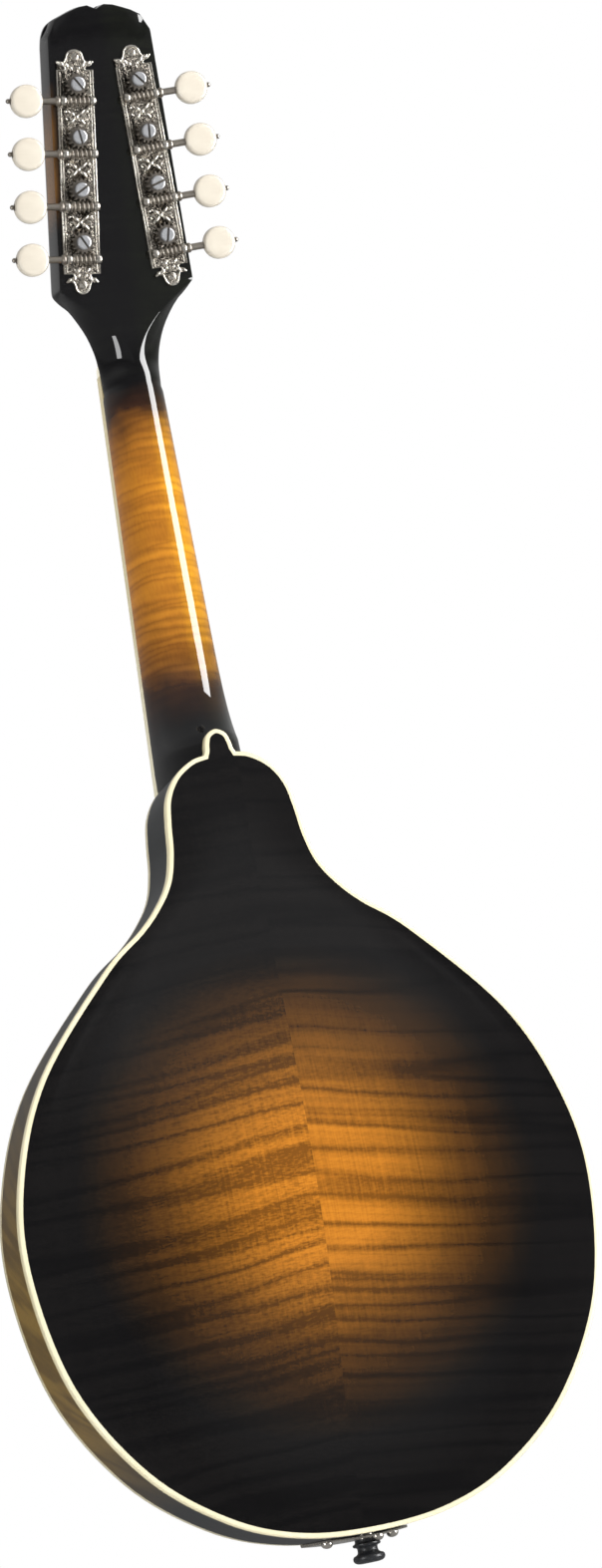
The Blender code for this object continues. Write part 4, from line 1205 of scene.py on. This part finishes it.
def post_mesh():
    """A string post about Z, waisted for the string, with its cross hole."""
    waist = [(POST_RADIUS - 0.55 * sin(pi * k / 10), -7.1 + 3.2 * k / 10) for k in range(11)]
    profile = [
        (0.0, -9.0), (2.0, -9.0), (2.65, -8.7), (POST_RADIUS, -8.2), *waist, (POST_RADIUS, 18.6),
    ]
    post = helper("post", turned(profile, 28))
    across = Matrix.Translation((-5, 0, -5.5)) @ Matrix.Rotation(pi / 2, 4, "Y")
    apply_cut(post, helper("string_hole", moved(turned([(0.75, 0.0), (0.75, 10.0)], 14), across)))
    mesh = post.data
    bpy.data.objects.remove(post, do_unlink=True)
    return mesh


def worm_mesh(start):
    """A worm shaft about Z with its thread, collar and the ball beyond the button."""
    sides = 24
    rings = []
    steps = 84
    for k in range(steps + 1):
        z = -5.25 + 10.5 * k / steps
        fade = min(1.0, (5.25 - abs(z)) / 0.5)
        ring = []
        for side in range(sides):
            angle = 2 * pi * side / sides
            turn = z / THREAD_PITCH - (angle - start) / (2 * pi)
            crest = (0.5 + 0.5 * cos(2 * pi * turn)) ** 1.25
            reach = 1.65 + 1.0 * fade * crest
            ring.append((reach * cos(angle), reach * sin(angle), z))
        rings.append(ring)
    end = KNOB_REACH + KNOB_RADIUS
    shaft = [(1.5, -7.8), (1.5, -5.3)]
    outer = [
        (1.5, 5.3), (1.5, 8.3), (2.0, 8.4), (2.2, 8.7), (2.2, 9.5), (1.95, 9.8), (1.55, 10.0), (1.55, end),
    ]
    ball_at = end + 0.9
    neck = [(1.3, end + 0.1), (0.8, end + 0.45)]
    ball = [(1.1 * cos(angle), ball_at + 1.1 * sin(angle)) for angle in (-0.6, -0.3, 0.0, 0.4, 0.8, 1.2, 1.5)]
    foot = [(0.8, -8.1), (1.4, -8.1), (1.6, -7.9), (1.6, -7.6), (1.4, -7.5)]
    cap = turned(foot, 20)
    return mesh_from("worm", *joined(cap, turned(shaft, 20), loft(rings), turned(outer + neck + ball, 20)))


def knob_mesh():
    """A button: a round disc about the X axis at KNOB_REACH with domed faces and a soft edge."""
    half = [(0.5, 3.1), (3.5, 3.08), (5.6, 2.95), (6.35, 2.75), (6.85, 2.35), (7.12, 1.75), (7.2, 1.0)]
    profile = [(radius, -x) for radius, x in half] + [(radius, x) for radius, x in reversed(half)]
    solid = turned(profile, 56)
    turn = Matrix.Translation((0, 0, KNOB_REACH)) @ Matrix.Rotation(pi / 2, 4, "Y")
    return mesh_from("knob", *moved(solid, turn))


def make_tuners(metal, shaft_metal, gear_metal, cream):
    screw_steel = nickel("screw_steel", (0.36, 0.365, 0.38), 0.3, 0.55)
    post = post_mesh()
    knob = knob_mesh()
    bushing_section = [
        (3.15, 0.2), (3.15, -1.2), (3.6, -1.6), (4.6, -1.6), (5.0, -1.2), (5.2, -0.2), (5.2, 0.2),
    ]
    worms = {}
    gears = {}
    for name in TUNER_NAMES:
        worm_axis = joint_axis("button_turn_" + name)
        worm_at = metres(axes_at(joint_place("button_turn_" + name), HEAD_BACK, worm_axis))
        post_at = metres(axes_at(joint_place("post_turn_" + name), worm_axis, HEAD_BACK))
        side = 1 if worm_axis.x > 0 else -1
        if side not in worms:
            worms[side] = worm_mesh(side * pi / 2)
            # Painted shade: a disc of the darker gear metal under each screw's slot makes the slot look dark.
            shaded_slot_floor = turned([(POST_RADIUS, WORM_OFF + 1.0), (POST_RADIUS, WORM_OFF + 1.75)], 24)
            gears[side] = mesh_from("gear", *joined(gear_solid(side * pi / 2), shaded_slot_floor))
        rider = "post_" + name
        piece("string_post_" + name, post, metal, rider, ["gear_post_" + name], post_at, 40)
        piece("gear_" + name, gears[side], gear_metal, rider, [], post_at, 35)
        head = slotted_screw(3.15, 1.7, radians(SLOT_TURNS[name]), 1.0)
        head = shifted(head, 0, 0, WORM_OFF + 1.25)
        piece("gear_screw_" + name, head, screw_steel, rider, [], post_at, 18)
        rider = "tuner_" + name
        piece("worm_" + name, worms[side], shaft_metal, rider, ["worm_shaft_" + name], worm_at, 50)
        piece("button_" + name, knob, cream, rider, ["tuner_button_" + name], worm_at, 50)
        bushing = turned(bushing_section, 32, closed=True)
        piece("bushing_" + name, bushing, metal, "body", [], post_at, 40)


# Truss rod cover, bridge, tailpiece and end pin.


def make_truss_cover(metal):
    side = spline([
        (8.5, 8.0), (9.6, 9.6), (10.2, 12.5), (9.0, 17.5), (5.2, 24.5), (3.4, 31.0), (0.0, 38.2),
        (-3.4, 31.0),
    ], 5)
    ring = mirrored(side)
    middle_s = 22.0
    rings = []
    for off, share in ((-0.05, 1.0), (-1.7, 1.0), (-2.05, 0.95), (-2.1, 0.86)):
        along = 0.5 + 0.5 * share
        rings.append([tuple(on_head(x * share, middle_s + (s - middle_s) * along, off)) for x, s in ring])
    black = black_plastic()
    piece("truss_cover_plate", loft(rings), black, "body", ["truss_rod_cover"], angle=50)
    screws = []
    for x, s, turn in ((-6.4, 12.6, 0.4), (6.4, 12.6, 1.3), (0.0, 33.4, 2.1)):
        at = axes_at(on_head(x, s, -2.05), Vector((-1, 0, 0)), -HEAD_BACK)
        screws.append(moved(slotted_screw(1.3, 0.7, turn, 0.35), at))
    piece("truss_cover_screws", joined(*screws), metal, "body")


def make_bridge_foot(wood):
    """The bridge's base, fitted to the top's arch, with a hollow under its middle."""
    rings = []
    for x in spread(-FOOT_HALF_LENGTH, FOOT_HALF_LENGTH, 64):
        under = top_y(x, BRIDGE_H) - 0.05
        drop = eased(abs(x), 36.0, 57.0)
        over = min(BRIDGE_BASE_TOP + (under - 3.4 - BRIDGE_BASE_TOP) * drop, under - 2.8)
        arch_gap = 1.2 * cos(0.5 * pi * min(abs(x) / 9.0, 1.0))
        section = [
            (-5.0, under - arch_gap), (5.0, under - arch_gap), (4.8, under - 1.6), (3.7, over + 0.5),
            (3.1, over), (-3.1, over), (-3.7, over + 0.5), (-4.8, under - 1.6),
        ]
        rings.append([(x, y, BRIDGE_H + PIN_LENGTH + across) for across, y in section])
    piece("bridge_foot", loft(rings), wood, "body", ["bridge_base"])


def make_saddle(wood):
    """The saddle, with a crest that wavers from string to string and a slot under each of them."""
    rings = []
    steps = 148
    for step in range(steps + 1):
        x = SADDLE_HALF_LENGTH * (2 * step / steps - 1)
        end = eased(abs(x), 23.0, 29.0)
        crest = BRIDGE_TOP_Y - 0.55 + 2.3 * end
        near = min(abs(x - BRIDGE_SPREAD * share) for _, share, _ in STRINGS)
        crest += 0.35 * (near < 0.5)
        offset = 0.9 * sin(x / SADDLE_HALF_LENGTH * 5.0) * (1 - end)
        low = SADDLE_LOW_Y - 0.5 * eased(abs(x), 36.0, 37.0)
        section = [
            (-3.2, low), (3.2, low), (2.6, SADDLE_LOW_Y - 3.0), (offset * 0.6 + 0.8, crest + 0.3),
            (offset * 0.6, crest), (offset * 0.6 - 0.8, crest + 0.3), (-2.6, SADDLE_LOW_Y - 3.0),
        ]
        rings.append([(x, y, BRIDGE_H + PIN_LENGTH + across) for across, y in section])
    piece("bridge_crest", loft(rings), wood, "saddle", ["bridge_saddle"])


def make_bridge_post(side, word, brass):
    """A threaded stud and its knurled wheel. side is -1 on the bass side."""
    foot = Vector((side * WHEEL_X, 0, BRIDGE_H + PIN_LENGTH))
    upright = metres(axes_at(foot, Vector((1, 0, 0)), Vector((0, -1, 0))))
    heights = spread(-BRIDGE_BASE_TOP - 3.0, -BRIDGE_BASE_TOP + 7.4, 60)
    stud = turned([(1.36 + 0.14 * (k % 2), height) for k, height in enumerate(heights)], 16)
    piece("bridge_stud_" + word, stud, brass, "body", ["bridge_post_" + word], upright)
    low = -SADDLE_LOW_Y - 0.3 - WHEEL_HEIGHT
    wheel = []
    for radius, rise in ((1.8, 0.0), (5.1, 0.0), (5.5, 0.25), (5.5, 1.35), (5.1, 1.6), (1.8, 1.6)):
        depth = 0.035 if radius > 5.0 else 0.0
        ring = []
        for k, (x, y, height) in enumerate(circle(radius, low + rise, 96)):
            shrink = 1 - depth * (k % 2)
            ring.append((x * shrink, y * shrink, height))
        wheel.append(ring)
    wheel = loft(wheel, closed=True)
    name = "knurled_wheel_" + word
    piece(name, wheel, brass, "wheel_" + word, ["bridge_wheel_" + word], upright, 30)


def make_bridge(wood):
    brass = nickel("bridge_brass", (0.78, 0.58, 0.28), 0.22)
    make_bridge_foot(wood)
    make_saddle(wood)
    make_bridge_post(-1, "bass", brass)
    make_bridge_post(1, "treble", brass)


def tail_rise(x):
    """How far the tail's edge has risen at x."""
    return x * x / 340.0


def make_tail_sheet(metal):
    """A sheet bent round the tail edge, bored for the end pin."""
    outer_y = TAIL_FRONT - 0.7
    low = TAIL_LOW - 1.1
    path = [
        (6.8, TAIL_LOW), (-18.0, TAIL_LOW), (TAIL_FRONT + 0.2, TAIL_LOW + 0.1), (TAIL_FRONT, TAIL_LOW + 0.4),
        (TAIL_FRONT - 0.3, 3.0), (TAIL_FRONT - 8.2, TAIL_REACH - 0.3), (TAIL_FRONT - 8.8, TAIL_REACH),
        (TAIL_FRONT - 9.3, TAIL_REACH - 0.3), (TAIL_FRONT - 1.8, 4.0), (outer_y - 0.5, 0.8),
        (outer_y - 0.1, low + 0.8), (outer_y + 0.7, low + 0.1), (-18.0, low), (6.8, low), (7.1, low + 0.3),
        (7.1, TAIL_LOW - 0.3),
    ]
    rings = []
    for share in spread(-1.0, 1.0, 40):
        ring = []
        for y, h in path:
            narrowing = 1 - 0.12 * max(0.0, h) / TAIL_REACH
            waist = 0.0 if h > 0 else 5.5 * eased(y, -18.0, 6.0)
            x = (TAIL_SHEET_HALF - waist) * share * narrowing
            ring.append((x, y, h + PIN_LENGTH + tail_rise(x)))
        rings.append(ring)
    sheet = piece("tailpiece_sheet", loft(rings), metal, "body", ["tailpiece_base"])
    apply_cut(sheet, helper("sheet_bore", turned([(4.1, 5.0), (4.1, 15.0)], 28)))


def make_hooks(metal):
    hooks = []
    ledge_y = TAIL_FRONT - 1.5 - TAIL_SLOPE * (24.0 - 4.0)
    for _, share, _ in STRINGS:
        path = [
            (TAIL_SPREAD * share, ledge_y + off, height)
            for off, height in ((0.3, 33.0), (-0.9, 32.6), (-2.6, 33.4), (-3.6, 35.2))
        ]
        hooks.append(tube(path, [0.8, 0.8, 0.75, 0.5], 10))
    piece("string_hooks", joined(*hooks), metal, "body", [])


def make_tail_screws(metal):
    profile = [(0.01, -0.3), (2.5, -0.3), (2.6, 0.5), (2.3, 1.3), (1.6, 1.95), (0.7, 2.25), (0.1, 2.3)]
    screws = []
    for x, y, turn in TAIL_SCREWS:
        foot = Vector((x, y, PIN_LENGTH + TAIL_LOW - 1.05 + tail_rise(x)))
        at = axes_at(foot, Vector((cos(turn), sin(turn), 0)), Vector((x / 170.0, 0, -1)))
        screws.append(moved(turned(profile, 24), at))
    piece("tail_screws", joined(*screws), metal, "body", [], angle=50)


def cover_shape(h):
    """The cover's half width at height h, and the y of its foot and of its crown."""
    rise = 0.7 + 1.1 * sin(pi * min((h - COVER_LOW_H) / COVER_LENGTH * 1.15, 1.0))
    foot = TAIL_FRONT - 2.6 - TAIL_SLOPE * h
    return 20.5 - 2.0 * h / TAIL_REACH, foot, foot - 6.0 - rise


def make_cover(engraved):
    """The arched cover that slides off the tailpiece, a little smaller at its low end."""
    rings = []
    rows = 30
    for row in range(rows + 1):
        h = COVER_LOW_H + COVER_LENGTH * row / rows
        wide, foot, crown = cover_shape(h)
        if row == 0:
            wide -= 0.6
            crown += 0.7
        outer = []
        for angle in spread(0.0, 0.5 * pi, 14):
            outer.append((wide * cos(angle) ** 0.45, foot + (crown - foot) * sin(angle) ** 0.75))
        inner = [(x - 0.9 * x / wide, foot + (y - foot) * 0.86) for x, y in outer]
        around = mirrored(outer) + list(reversed(mirrored(inner)))
        rings.append([(x, y, h + PIN_LENGTH) for x, y in around])
    piece("tailpiece_shell", loft(rings), engraved, "cover", ["tailpiece_cover"], angle=40)


def make_cover_border(metal):
    """Two raised lines across each end of the cover."""
    lines = []
    for h in (5.0, 6.6, TAIL_REACH - 6.2, TAIL_REACH - 4.8):
        wide, foot, crown = cover_shape(h)
        line = []
        for k in range(1, 28):
            angle = pi * k / 28
            x = wide * abs(cos(angle)) ** 0.45 * (1 if angle < pi / 2 else -1)
            line.append((x, foot + (crown - foot) * sin(angle) ** 0.75 - 0.05, h + PIN_LENGTH))
        lines.append(tube(line, 0.32, 6))
    piece("tailpiece_border", joined(*lines), metal, "cover", [], angle=60)


def make_tailpiece(metal, engraved):
    make_tail_sheet(metal)
    make_hooks(metal)
    make_tail_screws(metal)
    make_cover(engraved)
    make_cover_border(metal)


def make_end_pin():
    profile = [
        (4.0, 0.15), (5.4, 0.4), (6.4, 1.0), (6.85, 1.9), (6.8, 2.9), (6.3, 3.6), (5.2, 4.0), (4.5, 4.6),
        (4.3, 5.6), (4.35, 6.6), (4.7, 7.0), (5.6, 7.2), (6.0, 7.7), (5.9, 8.3), (5.1, 8.7), (4.75, 9.2),
        (4.75, 10.3), (3.6, 10.35), (3.4, 39.0),
    ]
    piece("turned_pin", turned(profile, 56), black_plastic(), "body", ["end_pin"], angle=50)


# Strings.


def string_route(share, radius, beside):
    """The points of a string from its tailpiece hook over the bridge and the nut to its post."""
    hook = Vector((TAIL_SPREAD * share, -HALF_DEPTH - 7.8 - radius, 35.0))
    saddle = Vector((BRIDGE_SPREAD * share, BRIDGE_TOP_Y - radius - 0.3, BRIDGE_H + PIN_LENGTH))
    nut = on_board(NUT_SPREAD * share, -2.0, 1.7 + radius)
    route = []
    for start, end, count in ((hook, saddle, 16), (saddle, nut, 40), (nut, beside, 14)):
        route += [tuple(start.lerp(end, k / count)) for k in range(count)]
    route.append(tuple(beside))
    softened = [route[0]]
    for before, here, after in zip(route, route[1:], route[2:]):
        softened.append(tuple((a + 6 * b + c) / 8 for a, b, c in zip(before, here, after)))
    softened.append(route[-1])
    return softened


def string_coil(post, outward, hold, gauge):
    """The points of the turns that a string makes about its post."""
    across = HEAD_BACK.cross(outward).normalized()
    down_row = across if across.z < 0 else -across
    turns = 3 if gauge > 0.5 else 4
    coil = []
    for k in range(turns * 18 + 1):
        angle = 2 * pi * k / 18
        centre = post + HEAD_BACK * (gauge * 1.05 * k / 18 - 5.5)
        coil.append(tuple(centre - outward * (hold * cos(angle)) - down_row * (hold * sin(angle))))
    return coil


def make_strings():
    wound = wire("bronze_wire", (0.80, 0.55, 0.30), True)
    plain = wire("plain_wire", (0.80, 0.78, 0.74), False)
    for name, share, gauge in STRINGS:
        radius = gauge / 2
        finish, slot = (wound, "bronze_wire") if name[0] in "gd" else (plain, "plain_wire")
        post = joint_place("post_turn_" + name)
        outward = joint_axis("button_turn_" + name)
        hold = 2.4 + radius
        beside = post - outward * hold + HEAD_BACK * -5.5
        string = tube(string_route(share, radius, beside), radius, 10)
        piece("string_wire_" + name, string, finish, "body", ["string_" + name], angle=60)
        wraps = tube(string_coil(post, outward, hold, gauge), radius, 8)
        piece("string_wraps_" + name, wraps, finish, "post_" + name, [], angle=60)


# Studio.


def make_camera():
    """Behind and a little below, turned so that the mandolin leans to the left."""
    yaw, pitch, roll = radians(17.94), radians(-11.84), radians(-11.72)
    target = Vector((-0.0347, 0.0158, 0.3321))
    back = Vector((sin(yaw) * cos(pitch), cos(yaw) * cos(pitch), sin(pitch)))
    level = (-back).cross(Vector((0, 0, 1))).normalized()
    upright = level.cross(-back)
    right = level * cos(roll) + upright * sin(roll)
    up = upright * cos(roll) - level * sin(roll)
    data = bpy.data.cameras.new("camera")
    data.sensor_fit = "AUTO"
    data.sensor_width = 36.0
    data.lens = 36.0 * 4091.0 / 1573.0
    camera = bpy.data.objects.new("camera", data)
    bpy.context.scene.collection.objects.link(camera)
    turn = Matrix((right, up, back)).transposed().to_4x4()
    camera.matrix_world = Matrix.Translation(target + back * 1.775) @ turn
    data.clip_start = 0.05
    data.clip_end = 50.0
    bpy.context.scene.camera = camera


def area_light(name, place, target, size, power, reflected):
    """A rectangular lamp that shows only in reflections, or that only lights matt surfaces."""
    data = bpy.data.lights.new(name, "AREA")
    data.shape = "RECTANGLE"
    data.size, data.size_y = size
    data.energy = power
    light = bpy.data.objects.new(name, data)
    bpy.context.scene.collection.objects.link(light)
    light.location = place
    light.rotation_mode = "QUATERNION"
    light.rotation_quaternion = (Vector(target) - Vector(place)).to_track_quat("-Z", "Y")
    light.visible_glossy = reflected
    light.visible_diffuse = not reflected
    light.visible_camera = False


def make_surround():
    """A pale surround. Reflections see a dimmer one, darkest at the level of the horizon."""
    world = bpy.data.worlds.new("studio")
    world.use_nodes = True
    bpy.context.scene.world = world
    tree = world.node_tree
    tree.nodes.clear()
    out = tree.nodes.new("ShaderNodeOutputWorld")
    path = tree.nodes.new("ShaderNodeLightPath")
    place = tree.nodes.new("ShaderNodeTexCoord")
    split = tree.nodes.new("ShaderNodeSeparateXYZ")
    tree.links.new(place.outputs["Generated"], split.inputs[0])
    span = tree.nodes.new("ShaderNodeMapRange")
    span.inputs["From Min"].default_value = -0.4
    span.inputs["From Max"].default_value = 0.4
    tree.links.new(split.outputs[2], span.inputs["Value"])
    level = tree.nodes.new("ShaderNodeValToRGB")
    stops = level.color_ramp.elements
    stops[1].position = 0.9
    stops.new(0.32)
    stops.new(0.5)
    stops.new(0.72)
    for stop, glow in zip(stops, (0.30, 0.29, 0.15, 0.20, 0.42)):
        stop.color = (glow, glow, glow, 1.0)
    tree.links.new(span.outputs[0], level.inputs[0])
    surround = None
    for ray, strength in ((None, 0.62), ("Is Glossy Ray", 1.0), ("Is Camera Ray", 1.0)):
        glow = tree.nodes.new("ShaderNodeBackground")
        glow.inputs[0].default_value = (1.0, 1.0, 1.0, 1.0)
        glow.inputs[1].default_value = strength
        if ray == "Is Glossy Ray":
            tree.links.new(level.outputs[0], glow.inputs[0])
        if surround is None:
            surround = glow.outputs[0]
            continue
        mix = tree.nodes.new("ShaderNodeMixShader")
        tree.links.new(path.outputs[ray], mix.inputs[0])
        tree.links.new(surround, mix.inputs[1])
        tree.links.new(glow.outputs[0], mix.inputs[2])
        surround = mix.outputs[0]
    tree.links.new(surround, out.inputs[0])


def make_lamps():
    bpy.context.scene.view_settings.view_transform = "Standard"
    middle = (0.0, 0.0, 0.33)
    area_light("key", (-1.5, 2.0, 1.4), middle, (1.0, 1.0), 80.0, False)
    area_light("fill", (1.6, 1.8, 0.9), middle, (1.2, 1.2), 14.0, False)
    area_light("front_fill", (0.3, -2.2, 1.2), middle, (1.4, 1.4), 55.0, False)
    area_light("neck_strip", (-1.16, 0.67, 0.55), (0.0, 0.0, 0.55), (0.6, 1.6), 50.0, True)
    area_light("left_strip", (0.98, 0.60, 0.06), (0.0, 0.0, 0.5), (0.24, 0.7), 5.0, True)


def make_floor():
    """A plain pale floor well under the hanging mandolin."""
    size = 6.0
    mesh = bpy.data.meshes.new("floor")
    corners = [(-size, -size, 0), (size, -size, 0), (size, size, 0), (-size, size, 0)]
    mesh.from_pydata(corners, [], [(0, 1, 2, 3)])
    floor = bpy.data.objects.new("floor", mesh)
    bpy.context.scene.collection.objects.link(floor)
    floor.location = (0, 0, -0.16)
    paint = Paint("floor", 0.7)
    pale = paint.ramp(paint.grain(3, 3, 3), [(0.3, (0.82, 0.82, 0.81)), (0.7, (0.86, 0.86, 0.85))])
    paint.color(pale)
    paint.link(pale, paint.shader.inputs["Emission Color"])
    paint.link(0.45, paint.shader.inputs["Emission Strength"])
    mesh.materials.append(paint.material)
    floor.visible_glossy = False


def main():
    make_camera()
    make_surround()
    make_lamps()
    make_floor()
    ivory_finish = ivory()
    wood = ebony()
    make_body(ivory_finish)
    make_neck()
    make_headstock_face()
    make_fingerboard(ivory_finish, wood)
    make_frets()
    make_position_dots()
    make_nut()
    metal = nickel()
    engraved = engraved_nickel("engraved_nickel", (0.05, 0.042, 0.035), (0.50, 0.46, 0.40))
    make_tuner_plates(metal, engraved)
    shaft_metal = nickel("dull_nickel", (0.42, 0.38, 0.33), 0.28)
    gear_metal = nickel("dark_nickel", (0.24, 0.215, 0.185), 0.3)
    make_tuners(metal, shaft_metal, gear_metal, button_cream())
    make_truss_cover(metal)
    make_bridge(wood)
    make_tailpiece(metal, engraved_nickel("tail_nickel", (0.26, 0.245, 0.22), (0.60, 0.575, 0.52), 0.5))
    make_end_pin()
    make_strings()


main()
